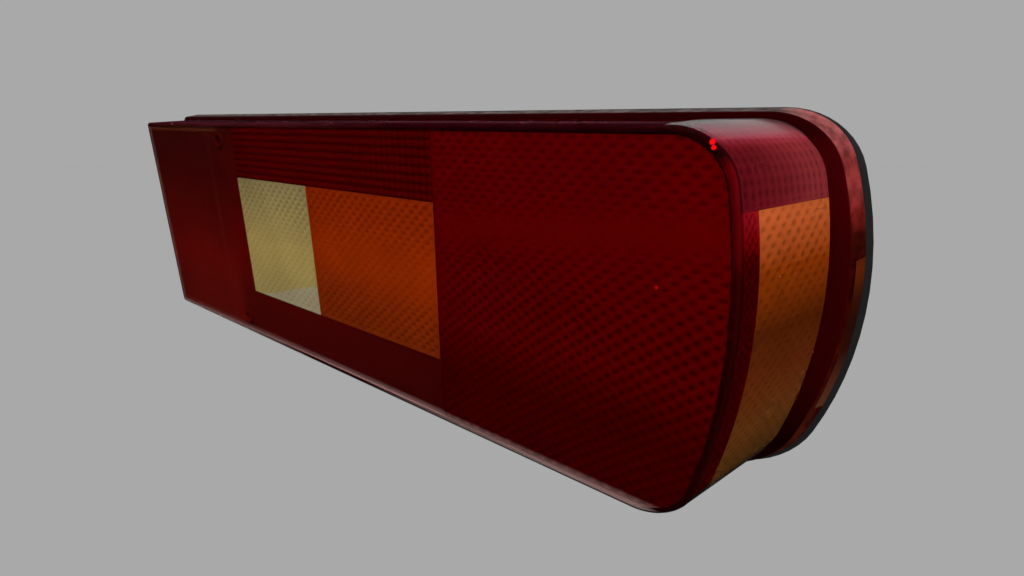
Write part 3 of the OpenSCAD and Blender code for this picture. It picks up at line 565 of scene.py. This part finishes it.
# Amber strip in the rim: solid plastic without optics, so a dark brown, painted lighter and darker with
# height as light and shade, with a weak shine
AMBER_PLAIN = shaded_by_height("moulded amber acrylic", (
    (0.22, "#5c3520"), (0.32, "#4e2617"), (0.42, "#2e0d05"), (0.5, "#270b05"), (0.57, "#351003"),
    (0.64, "#561e04"), (0.69, "#451503")), 1.1)
# Painted glint: a bright pure red where a facet at just the right angle would send the room's light back,
# brighter higher up
GLINT_RED = inside_plastic("painted red glint", lambda tree: add(
    tree, "ValToRGB", [along(tree, "Z", 0.0, 40.0)], stops=((0.0, "#c00208"), (1.0, "#ff0c16"))))
# Black ABS with the fine grain of a spark-eroded mould: dull, a soft shine where it curves
BLACK_ABS = plastic("grained black ABS", "#1c1c1e", "#232325", (0.42, 0.6), 30.0, 0.9, 0.03, {"IOR": 1.54})
# Moulded rubber: duller and blacker than the ABS, with hardly any shine
BLACK_RUBBER = plastic("moulded black rubber", "#161617", "#1d1d1e", (0.62, 0.8), 12.0, 1.2, 0.03,
                       {"IOR": 1.52})
# Foam cut from sheet: its cut cells, drawn at 0.8 mm so that they show, and no shine at all
GASKET_FOAM = plastic("closed-cell gasket foam", "#141414", "#202020", (0.85, 0.98), 6.0, 0.8, 0.12,
                      {"IOR": 1.45})
# Undyed nylon: a yellowish white that lets a little light in
NYLON = plastic("natural moulded nylon", "#b9b29c", "#c6bfaa", (0.38, 0.52), 25.0, 1.4, 0.02,
                {"IOR": 1.53, "Subsurface Weight": 0.15, "Subsurface Scale": 0.004})
# Zinc plate on steel: a pale grey, slightly yellow, cloudy in spots of a few millimetres
ZINC = metal("zinc-plated steel", "#a9abaa", "#c3c2b6", (0.24, 0.42), 3.0)
# Aluminium deposited on a moulding: close to a mirror
METALLISED = metal("vacuum-metallised plastic", "#d8d9da", "#e2e2e2", (0.08, 0.16), 20.0)
# Nickel on drawn brass: a warm grey with a soft shine
NICKELLED = metal("nickelled brass cap", "#a8a08c", "#beb49a", (0.22, 0.36), 4.0)
# Stamped brass: yellow, with the dull shine of rolled strip
BRASS = metal("stamped brass strip", "#a8843e", "#bd9a52", (0.26, 0.42), 5.0)
# Drawn tungsten: a dark grey wire
TUNGSTEN = metal("drawn tungsten wire", "#5a5a5c", "#6c6c6e", (0.3, 0.4), 1.0)
# Blown glass: thin and clear, seen by its reflections alone
BULB_GLASS = clear("blown bulb glass", "#f6f8f8", (0.0, 0.02), 1.5)
# Dyed glass: the same in orange
AMBER_GLASS = clear("amber-dyed bulb glass", "#f0a24a", (0.0, 0.02), 1.5)


# Lens shell


def rounding(inset, back, r, steps=5):
    """Inset and depth of each ring round an outer edge of radius r that starts on the face."""
    for k in range(steps + 1):
        a = math.radians(90 * k / steps)
        yield inset + r * (1 - math.sin(a)), back + r * (1 - math.cos(a))


def with_wells(piece, r):
    """Cuts the two screw wells, of radius r, out of the front of the lens."""
    cut(piece, [cylinder("well", WELL_X, s * WELL_Z, r, *WELL_CUT) for s in (-1, 1)])


def clear_layer():
    """The polished outer layer of the lens, from the face down to the flange."""
    outer = [face_ring(face_line(i), b) for i, b in rounding(0, 0, EDGE_R)]
    outer.append(flat_ring(wall_line(0), FLANGE_Y - 0.02))
    inner = [face_ring(face_line(i), b) for i, b in rounding(SKIN_T, SKIN_T, EDGE_R - SKIN_T)]
    inner.append(flat_ring(wall_line(SKIN_T), FLANGE_Y - 0.02))
    verts, faces = skin(outer + inner[::-1])
    is_wall = [int(len(f) == 4) for f in faces]
    piece = new_piece("lens_clear_layer", verts, faces, [CLEAR_LAYER, CLEAR_WALL], is_wall)
    with_wells(piece, WELL_R)
    dress(piece, "clear_acrylic")


def stepped(near, far):
    """A ring of the wall: below the optics round the outboard side, just under the clear layer elsewhere."""
    return np.where((far[:, 0] > OPTICS_X)[:, None], far, near)


def lens_shell():
    """The red moulding under the clear layer: face, edge, walls, flange and rim, hollow behind."""
    front = [face_ring(face_line(LAND + 0.25), OPTIC_FLOOR), face_ring(face_line(LAND), UNDER)]
    front += [face_ring(face_line(i), b) for i, b in rounding(UNDER, UNDER, EDGE_R - UNDER)]
    wall = [face_ring(stepped(face_line(UNDER), face_line(OPTIC_FLOOR)), EDGE_R + 0.8),
            flat_ring(stepped(wall_line(UNDER), wall_line(OPTIC_FLOOR)), FLANGE_Y - 0.01),
            flat_ring(wall_line(0.0), FLANGE_Y)]
    flange = [flat_ring(flange_line(FLANGE_R * (1 - s)), FLANGE_Y + FLANGE_R * t)
              for s, t in ((0, 0), (0.7, 0.3), (1, 1))]
    rim = [flat_ring(rim_line(0.0), PLATE_Y - RIM_R), flat_ring(rim_line(RIM_R), PLATE_Y),
           flat_ring(rim_line(RIM_WALL), PLATE_Y)]
    back = [flat_ring(flange_line(RIM_WALL), FLANGE_Y + FLANGE_T),
            flat_ring(wall_line(BACK_INSET), FLANGE_Y + FLANGE_T),
            face_ring(face_line(BACK_INSET), BACK_INSET)]
    rings = front + wall + flange + rim + back
    verts, faces = skin(rings)
    # Faces after each ring: the plain face, the edge and walls, the flange, and the rim with the inner side
    parts = [0] + [1] * len(front) + [2] * 4
    parts += [3] * (len(rings) - 1 - len(parts))
    steps = len(rings[0])
    indices = [0 if len(f) > 4 else parts[i // steps] for i, f in enumerate(faces)]
    piece = new_piece("lens_shell", verts, faces, [RED, RED_EDGE, RED_FLANGE, RED_RIM], indices)
    with_wells(piece, WELL_R + 0.4)
    dress(piece, "red_acrylic", "lens")


def tube(x, z, inner_r, outer_r, y0, y1, floor_y, hole_r, steps=48):
    """Points and faces of a round well, open to the front, with a floor and a screw hole."""
    rings = [(outer_r, y0), (outer_r, y1), (hole_r, y1), (hole_r, floor_y), (inner_r, floor_y), (inner_r, y0)]
    return skin([flat_ring(arc(x, z, r, 0, 360, steps, 0, steps - 1), y) for r, y in rings], closed=True)


def joined(parts):
    """Several sets of points and faces as one."""
    verts, faces, count = [], [], 0
    for v, f in parts:
        verts.append(v)
        faces += [tuple(i + count for i in face) for face in f]
        count += len(v)
    return np.concatenate(verts), faces


def screw_wells():
    """The two wells of the face's screws, and the two bosses at the outboard end."""
    parts = []
    for s in (-1, 1):
        parts.append(tube(WELL_X, s * WELL_Z, WELL_R, WELL_R + WELL_WALL, face_y(WELL_X) + 0.1, WELL_END,
                          WELL_FLOOR, SCREW_HOLE_R))
        parts.append(tube(BOSS_X, s * BOSS_Z, PILOT_R, BOSS_R, PLATE_Y, FLANGE_Y + 1, FLANGE_Y + 2, 0.5))
    dress(new_piece("lens_screw_wells", *joined(parts), [RED]), "red_acrylic")


clear_layer()
lens_shell()
screw_wells()


# Optics


def wave(turns):
    """1 at each whole number, 0 halfway between."""
    return (1 + np.cos(2 * np.pi * turns)) / 2


def spots(x, z, w, h, lean, narrow, flat):
    """1 at the middle of each spot of a staggered pattern, 0 between them. The rows lean up to the right."""
    total = 0.0
    for shift in (0.0, 0.5):
        across = (x / w + shift) % 1 - 0.5
        up = z / h + shift - lean * across * w / h
        total = total + wave(across) ** narrow * wave(up) ** flat
    return total


def diamonds(x, z, w=CELL_W, h=CELL_H, lean=0.1, pits=1.0, peaks=0.0, narrow=1.3, flat=5):
    """Height of the diamond optics: level, with a pit and a peak in each diamond, of the given strengths."""
    return (LEVEL * (1 - pits * spots(x, z, w, h, lean, narrow, flat))
            + (1 - LEVEL) * peaks * spots(x + w / 2, z, w, h, lean, 2, 3))


def rise(value, start, end):
    """0 at start, 1 at end, even between."""
    return np.clip((value - start) / (end - start), 0, 1)


def stop_diamonds(x, z):
    """Light from above washes the pits out in a band above the middle, and the lowest rows show peaks."""
    band = np.exp(-((z - 24 - 0.1 * (x - 75)) / 7) ** 2)
    low = rise(z, -28, -42)
    down = rise(z, 30, 0)
    outer = rise(x, 80, 150)
    pits = 0.76 - 0.55 * band - 0.12 * outer * (1 - down) + 0.12 * down * (1 + outer) - 0.14 * rise(z, 0, -25)
    return diamonds(x, z, lean=0.04 + 0.04 * down, pits=pits * (1 - 0.5 * low), peaks=low,
                    narrow=1.3 + 1.0 * down, flat=5 - 2.8 * down)


def window_diamonds(x, z):
    """The pits are deepest near the top of the windows, and in the amber one also near the bottom."""
    low = rise(z, -5, -20) * rise(x, INDICATOR_X0 - 2, INDICATOR_X0 + 8)
    return diamonds(x, z, lean=0.12, pits=0.45 + 0.45 * rise(z, 8, 24) + 0.4 * low, narrow=1.6, flat=3)


def levelled(height, x, z, x0, x1, z0, z1, margin=1.2):
    """Brings the heights to the level along the border of a rectangle, so that its edges are straight."""
    inside = np.minimum(np.minimum(x - x0, x1 - x), np.minimum(z - z0, z1 - z))
    return LEVEL + (height - LEVEL) * rise(inside, 0, margin)


def diamond_lines(low, high, pitch):
    """Grid lines between low and high, CELL_STEPS to a diamond, and the two ends."""
    step = pitch / CELL_STEPS
    first, last = math.ceil(low / step + 0.15), math.floor(high / step - 0.15)
    lines = np.arange(first - 1, last + 2) * step
    lines[0], lines[-1] = low, high
    return lines


def field(name, xs, zs, height, place, materials, inside=None, base=-0.25):
    """A closed pad: a grid of heights in front, its rim, and a plain back. place turns x, z and height into a
    point."""
    nx, nz = len(xs), len(zs)
    gx, gz = np.meshgrid(xs, zs, indexing="ij")
    gx, gz = gx.ravel(), gz.ravel()
    keep = np.ones(len(gx), bool)
    if inside is not None:
        gx, gz, keep = inside(gx, gz)
    top = place(gx, gz, height(gx, gz))
    low = place(gx, gz, np.full(len(gx), base))
    i, j = np.meshgrid(np.arange(nx - 1), np.arange(nz - 1), indexing="ij")
    i, j = i.ravel(), j.ravel()
    a, b, c, d = i * nz + j, (i + 1) * nz + j, (i + 1) * nz + j + 1, i * nz + j + 1
    tris = np.concatenate([np.stack([a, b, c], 1), np.stack([a, c, d], 1)])
    tris = tris[keep[tris].all(axis=1)]
    count = len(gx)
    edges = np.concatenate([tris[:, [0, 1]], tris[:, [1, 2]], tris[:, [2, 0]]])
    key = edges[:, 0] * count + edges[:, 1]
    back_key = edges[:, 1] * count + edges[:, 0]
    border = edges[~np.isin(key, back_key)]
    sides = np.concatenate([np.stack([border[:, 1], border[:, 0], border[:, 0] + count], 1),
                            np.stack([border[:, 1], border[:, 0] + count, border[:, 1] + count], 1)])
    all_faces = np.concatenate([tris, tris[:, ::-1] + count, sides])
    used = np.unique(all_faces)
    new_index = np.zeros(2 * count, int)
    new_index[used] = np.arange(len(used))
    points = np.concatenate([top, low])[used]
    piece = new_piece(name, points, new_index[all_faces], materials, sharp=60)
    relief = piece.data.attributes.new("relief", "FLOAT", "POINT")
    heights = np.concatenate([height(gx, gz), np.zeros(count)])[used]
    relief.data.foreach_set("value", heights.astype(np.float32))
    return piece


def on_face(x, z, h):
    """A point of the face optics, h of their full height above their floor."""
    return np.column_stack([x, face_y(x) + OPTIC_FLOOR - OPTIC_H * h, z])


def within(polygon, reach):
    """Keeps the grid inside a convex outline, and draws the points just outside it onto the outline."""
    sides = np.roll(polygon, -1, axis=0) - polygon
    length = np.linalg.norm(sides, axis=1)
    real = length > 1e-6
    start, way = polygon[real], sides[real] / length[real][:, None]
    normal = np.column_stack([way[:, 1], -way[:, 0]])

    def inside(x, z):
        x, z = x.copy(), z.copy()
        d = x[:, None] * normal[:, 0] + z[:, None] * normal[:, 1] - (start * normal).sum(axis=1)
        worst = d.argmax(axis=1)
        far = d[np.arange(len(x)), worst]
        move = np.clip(far, 0, None)
        x -= move * normal[worst, 0]
        z -= move * normal[worst, 1]
        return x, z, far < reach
    return inside


def window(name, x0, x1, mat, slot, node):
    """The optics of a window in the face, which stand for its solid."""
    def height(x, z):
        return levelled(window_diamonds(x, z), x, z, x0 + GAP, x1 - GAP, WINDOW_LOW, WINDOW_TOP)
    across = diamond_lines(x0 + GAP, x1 - GAP, CELL_W)
    pad = field(name, across, diamond_lines(WINDOW_LOW, WINDOW_TOP, CELL_H), height, on_face, [mat])
    dress(pad, slot, node)


def stop_lamp():
    """The optics of the stop lamp fill the outboard end of the face, a border's width inside its outline."""
    outline = face_line(STOP_BORDER, corner=40, bow=60)
    outline = outline[outline[:, 0] > STOP_X0]
    outline = np.concatenate([outline, [[STOP_X0, outline[-1, 1]], [STOP_X0, outline[0, 1]]]])
    across = diamond_lines(STOP_X0, FACE_X1 - STOP_BORDER + 1, CELL_W)
    top = FACE_TOP - STOP_BORDER + 0.5
    up = diamond_lines(-top, top, CELL_H)
    pad = field("stop_lamp_optics", across, up, stop_diamonds, on_face, [RED_OPTICS],
                inside=within(outline, 0.45))
    dress(pad, "red_acrylic")


def flutes(x, z):
    """Height of the level flutes above the windows, with upright grooves, deeper towards the stop lamp."""
    across = np.sqrt(np.abs(np.sin(np.pi * (z - WINDOW_TOP) / FLUTE_PITCH)))
    up = np.sqrt(np.abs(np.sin(np.pi * (x - REVERSE_X0) / FLUTE_W)))
    deep = rise(x, -20, 70)
    return across * (0.5 - 0.3 * deep + (0.15 + 0.42 * deep) * up)


def even_lines(low, high, pitch, steps):
    """Even grid lines, about steps to a pitch."""
    count = max(1, round((high - low) / pitch)) * steps
    return np.linspace(low, high, count + 1)


def flutes_above_windows():
    """The field of flutes, from the reverse window's inner edge to the stop lamp."""
    across = even_lines(REVERSE_X0, INDICATOR_X1, FLUTE_W, 4)
    low = WINDOW_TOP + FLUTE_LIFT
    up = even_lines(low, low + FLUTES * FLUTE_PITCH, FLUTE_PITCH, 8)
    dress(field("flutes_above_windows", across, up, flutes, on_face, [FLUTE_OPTICS]), "red_acrylic")


window("reverse_window_optics", REVERSE_X0, INDICATOR_X0, CREAM_OPTICS, "clear_acrylic", "reverse_window")
window("indicator_window_optics", INDICATOR_X0, INDICATOR_X1, AMBER_OPTICS, "amber_acrylic",
       "indicator_window")
stop_lamp()
flutes_above_windows()


# Optics of the outboard wall, laid out by distance round the outline and depth from the face

WALL_STEPS = {"corner": 160, "bow": 240, "inner": 6}
# The wall's depth as the optics count it, and where they start and end: from the face, and round from below
WALL_DEPTH = 50.0
NEAR, FAR, A_LOW, A_LEFT = 1.5, WALL_DEPTH - 0.4, 2.0, 1.0
face_rims = [face_line(i, **WALL_STEPS) for i in (CREST, OPTIC_FLOOR)]
wall_rims = [wall_line(i, **WALL_STEPS) for i in (CREST, OPTIC_FLOOR)]
# Distance round the middle of the wall, past the points of the inboard corners
first = WALL_STEPS["inner"] + 1
middle_rim = (face_rims[0] + wall_rims[0])[first:-first] / 2
round_way = np.concatenate([[0], np.cumsum(np.linalg.norm(np.diff(middle_rim, axis=0), axis=1))])
rim_z = middle_rim[:, 1]


def on_wall(a, b, h):
    """A point of the wall optics: a round the outline, b back from the face, h of their full height."""
    k = np.interp(a, round_way, np.arange(len(round_way))) + first
    k0 = np.clip(np.floor(k).astype(int), 0, len(face_rims[0]) - 2)
    f = (k - k0)[:, None]
    sides = []
    for near, far in zip(face_rims, wall_rims):
        p, q = near[k0] * (1 - f) + near[k0 + 1] * f, far[k0] * (1 - f) + far[k0 + 1] * f
        start = face_y(p[:, 0]) + EDGE_R
        s = (b / WALL_DEPTH)[:, None]
        y = start + (FLANGE_Y - 0.4 - start) * s[:, 0]
        sides.append(np.column_stack([p[:, 0] * (1 - s[:, 0]) + q[:, 0] * s[:, 0], y,
                                      p[:, 1] * (1 - s[:, 0]) + q[:, 1] * s[:, 0]]))
    h = np.asarray(h)[:, None]
    return sides[0] * h + sides[1] * (1 - h)


def wall_pad(name, a0, a1, b0, b1, w, h, height, mat, slot):
    """A pad of the wall with diamonds w deep and h high. height takes depth, way round and z."""
    def relief(a, b):
        return levelled(height(b, a, np.interp(a, round_way, rim_z)), a, b, a0, a1, b0, b1)
    pad = field(name, diamond_lines(a0, a1, h), diamond_lines(b0, b1, w), relief, on_wall, [mat], base=-0.1)
    dress(pad, slot)


def amber_diamonds(b, a, z):
    """Dots of the side window, deeper towards its top."""
    return diamonds(b, a, WALL_CELL_W, WALL_CELL_H, pits=0.65 + 0.15 * rise(z, 16, 26), narrow=3, flat=5)


def columns(b, a, z):
    """Upright grooves, crossed by weaker level ones."""
    grooves = wave(b / COLUMN_W) ** 2
    return LEVEL * (1 - grooves * (0.65 + 0.35 * np.cos(2 * np.pi * a / COLUMN_H)))


def fine_facets(b, a, z):
    """Facets of the strip beside the side window."""
    return diamonds(b, a, FACET_W, FACET_H, pits=0.9, narrow=1, flat=1)


a_top, a_end = float(np.interp(SIDE_TOP, rim_z, round_way)), float(round_way[-1]) - A_LEFT
wall_pad("side_wall_optics", a_top + GAP, a_end, NEAR, FAR, COLUMN_W, COLUMN_H, columns, SIDE_RED_OPTICS,
         "red_acrylic")
wall_pad("side_window_optics", A_LOW, a_top - GAP, SIDE_SETBACK, FAR, WALL_CELL_W, WALL_CELL_H,
         amber_diamonds, SIDE_AMBER_OPTICS, "amber_acrylic")
wall_pad("side_land_optics", A_LOW, a_top - GAP, NEAR, SIDE_SETBACK - GAP, FACET_W, FACET_H, fine_facets,
         SIDE_LAND_OPTICS, "red_acrylic")

# Three painted glints on the stop field, where facets at just the right angle would send the light of the
# room back
GLINTS = ((188.7, 62.1, 0.85), (189.2, 60.6, 0.7), (176.9, 18.2, 0.5))


def painted_glints():
    """Painted glints: eight-sided bright red patches just under the clear layer, by place and radius."""
    turn = np.arange(8) * np.pi / 4
    verts, faces = [], []
    for x, z, r in GLINTS:
        faces.append(tuple(range(len(verts), len(verts) + 8)))
        y = np.full(8, face_y(x) + SKIN_T + 0.03)
        verts.extend(np.column_stack([x + r * np.cos(turn), y, z + r * np.sin(turn)]))
    dress(new_piece("painted_glints", np.array(verts), faces, [GLINT_RED]), "red_acrylic")


painted_glints()


# Amber strip let into the rim


def strip_row(outline, covered, out, y):
    """The covered points of an outline, moved outward by out."""
    p = outline[covered]
    d = np.gradient(p, axis=0)
    n = np.column_stack([d[:, 1], -d[:, 0]]) / np.linalg.norm(d, axis=1)[:, None]
    return flat_ring(p + n * out, y)


def rim_strip():
    """The side window runs on through the rim, as a strip that starts a third of the way down its skirt."""
    low, high = rim_line(0.0), flange_line(0.0)
    covered = np.where((low[:, 0] > FACE_X1 + 2) & (low[:, 1] > STRIP_LOW) & (low[:, 1] < STRIP_TOP))[0]
    share, proud, sunk, low_y = 0.35, 0.02, -1.0, PLATE_Y - 0.35
    middle, middle_y = high * (1 - share) + low * share, SKIRT_Y + share * SKIRT_H
    corners = ((middle, proud, middle_y), (low, proud, low_y), (low, sunk, low_y), (middle, sunk, middle_y))
    count = len(covered)
    verts = np.concatenate([strip_row(outline, covered, out, y) for outline, out, y in corners])
    faces = []
    for a in range(4):
        start, turn = a * count, (a + 1) % 4 * count
        faces += [(start + i, start + i + 1, turn + i + 1, turn + i) for i in range(count - 1)]
    faces += [(0, count, 2 * count, 3 * count), (4 * count - 1, 3 * count - 1, 2 * count - 1, count - 1)]
    dress(new_piece("side_window_rim_strip", verts, faces, [AMBER_PLAIN]), "amber_acrylic", "side_window")


rim_strip()


# Studs with their cut threads

STUD_X, STUD_Z, STUD_R, STUD_LEN = 150.0, 62.0, 2.5, 20.0
HEAD_R, HEAD_T, COLLAR_R, STUD_LEAD = 5.5, 1.5, 3.2, 0.8
THREAD_PITCH, THREAD_DEPTH, THREAD_FROM = 0.8, 0.42, 3.0


def stud_rings(x, z, steps=24):
    """Rings of one stud: head, collar, plain shank and thread, whose groove winds along the shaft."""
    turn = np.arange(steps) * 2 * np.pi / steps
    head_y = PLATE_Y - HEAD_T
    plain = [(head_y, HEAD_R - 0.3), (head_y + 0.3, HEAD_R), (PLATE_Y, HEAD_R), (PLATE_Y, COLLAR_R),
             (0.0, COLLAR_R), (0.0, STUD_R), (THREAD_FROM - 0.2, STUD_R)]
    rings = [(y, np.full(steps, r)) for y, r in plain]
    for y in np.arange(THREAD_FROM, STUD_LEN - STUD_LEAD, THREAD_PITCH / 6):
        groove = np.abs((y / THREAD_PITCH - turn / (2 * np.pi)) % 1 * 2 - 1)
        rings.append((y, STUD_R - THREAD_DEPTH * groove))
    rings.append((STUD_LEN, np.full(steps, STUD_R - STUD_LEAD)))
    return [flat_ring(np.column_stack([x + r * np.cos(turn), z + r * np.sin(turn)]), y) for y, r in rings]


for number, (side, level) in enumerate(((-1, -1), (-1, 1), (1, -1), (1, 1))):
    verts, faces = skin(stud_rings(side * STUD_X, level * STUD_Z))
    stud = new_piece("mounting_stud_%d" % (number + 1), verts, faces, [ZINC], sharp=50)
    dress(stud, "zinc_plated_steel", *(["mounting_studs"] if number == 0 else []))


# The solids that stay get their finishes

FINISHES = {
    "lens_seal": BLACK_RUBBER, "lens_screws": ZINC, "housing": BLACK_ABS, "body_gasket": GASKET_FOAM,
    "reflector_tray": METALLISED, "carrier_seal": BLACK_RUBBER, "bulb_carrier": NYLON,
    "vent_cap": BLACK_RUBBER, "indicator_bulb_glass": AMBER_GLASS,
}
BY_ENDING = {"_glass": BULB_GLASS, "_bulb_cap": NICKELLED, "_filament": TUNGSTEN, "_strip": BRASS}


def finish_of(name):
    """The finish of a solid, by its name or else by how the name ends."""
    usual = [finish for ending, finish in BY_ENDING.items() if name.endswith(ending)]
    return FINISHES.get(name) or (usual[0] if usual else None)


for name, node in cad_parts.items():
    if finish_of(name):
        for s in node.material_slots:
            s.material = finish_of(name)


# Stage

BACKGROUND = "#a9a9a9"
FLOOR_Z, FLOOR_HALF = -0.45, 8


def shown_as_background(tree):
    """1 for rays from the camera, from a reflection or through glass, and 0 for light on the object."""
    camera, glossy, through = (add(tree, "LightPath", out="Is %s Ray" % kind)
                               for kind in ("Camera", "Glossy", "Transmission"))
    either = add(tree, "Math", [camera, glossy], operation="MAXIMUM")
    return add(tree, "Math", [either, through], operation="MAXIMUM")


def flat_card(name, corners, mat):
    """A stage piece with four corners."""
    mesh = bpy.data.meshes.new(name)
    mesh.from_pydata(corners, [], [(0, 1, 2, 3)])
    mesh.materials.append(mat)
    card = bpy.data.objects.new(name, mesh)
    bpy.context.scene.collection.objects.link(card)
    return card


def pale_floor():
    """Studio paper in the colour of the background, that keeps a trace of the object's shadow."""
    m, tree = material("pale floor")
    paper = add(tree, "Mix", [patches(tree, 120.0), "#a6a6a6", "#acacac"], data_type="RGBA")
    share = add(tree, "Math", [shown_as_background(tree), 0.97], operation="MULTIPLY")
    lit, shown = add(tree, "BsdfDiffuse", [paper]), add(tree, "Emission", [BACKGROUND])
    add(tree, "OutputMaterial", [add(tree, "MixShader", [share, lit, shown])])
    corners = [(x * FLOOR_HALF, y * FLOOR_HALF, FLOOR_Z) for x, y in ((-1, -1), (1, -1), (1, 1), (-1, 1))]
    flat_card("floor", corners, m)


def dark_card(name, corners, bright_from=90.0, bright_to=100.0):
    """Black studio cloth that only reflections see, so that the polished lens mirrors no bright floor.
    Between the two distances behind the lamp, in metres, it fades into the background."""
    m, tree = material(name)
    felt = add(tree, "Mix", [patches(tree, 3.0), "#030303", "#060606"], data_type="RGBA")
    cloth, shown = add(tree, "BsdfDiffuse", [felt]), add(tree, "Emission", [BACKGROUND])
    fade = along(tree, "Y", bright_from / MM, bright_to / MM)
    add(tree, "OutputMaterial", [add(tree, "MixShader", [fade, cloth, shown])])
    card = flat_card(name, corners, m)
    card.visible_camera = card.visible_diffuse = card.visible_shadow = False


def studio_world():
    """Soft light from all round, weaker from below, and the background's colour for what rays see."""
    world = bpy.data.worlds.new("studio")
    bpy.context.scene.world = world
    world.use_nodes = True
    tree = world.node_tree
    tree.nodes.clear()
    around = add(tree, "TexCoord", out="Generated")
    height = add(tree, "SeparateXYZ", [around], out="Z")
    light = add(tree, "Background", ["#f4f2f6", add(tree, "MapRange", [height, -0.5, 0.9, 0.25, 0.9])])
    shown = add(tree, "Background", [BACKGROUND])
    add(tree, "OutputWorld", [add(tree, "MixShader", [shown_as_background(tree), light, shown])])


pale_floor()
CARD_Z = FLOOR_Z + 0.01
dark_card("cloth_below", [(-4.0, -2.0, CARD_Z), (6.0, -2.0, CARD_Z), (6.0, 6.0, CARD_Z), (-4.0, 6.0, CARD_Z)],
          1.5, 9.0)
dark_card("cloth_left", [(-2.0, -2.0, CARD_Z), (-2.0, 0.3, CARD_Z), (-2.0, 0.3, 1.4), (-2.0, -2.0, 1.4)])
dark_card("cloth_front", [(-2.0, -1.6, CARD_Z), (1.6, -1.6, CARD_Z), (1.6, -1.6, 1.6), (-2.0, -1.6, 1.6)])
studio_world()


def soft_lamp(name, at, towards, size, power):
    """A round white lamp, in metres and watts."""
    data = bpy.data.lights.new(name, "AREA")
    data.shape, data.size, data.energy = "DISK", size, power
    lamp = bpy.data.objects.new(name, data)
    lamp.location = at
    aim = np.array(towards) - np.array(at)
    lamp.rotation_euler = Vector(aim).to_track_quat("-Z", "Y").to_euler()
    bpy.context.scene.collection.objects.link(lamp)


soft_lamp("key", (1.1, -0.7, 1.4), (0.05, 0, 0), 1.2, 26.0)
soft_lamp("fill", (-1.2, -0.9, 1.0), (0, 0, 0), 1.4, 8.0)

# Camera at the photograph's place

FOCAL_PX, IMAGE_W = 510, 1024
DOWN, TO_LEFT = 18.13, 33.57


def camera_at_photograph():
    data = bpy.data.cameras.new("camera")
    data.sensor_width = 36.0
    data.lens = FOCAL_PX / IMAGE_W * data.sensor_width
    data.clip_start = 0.01
    camera = bpy.data.objects.new("camera", data)
    camera.location = (0.2229, -0.2155, 0.06745)
    camera.rotation_euler = (math.radians(90 - DOWN), 0.0, math.radians(TO_LEFT))
    bpy.context.scene.collection.objects.link(camera)
    return camera


bpy.context.scene.camera = camera_at_photograph()
bpy.context.scene.view_settings.view_transform = "Standard"
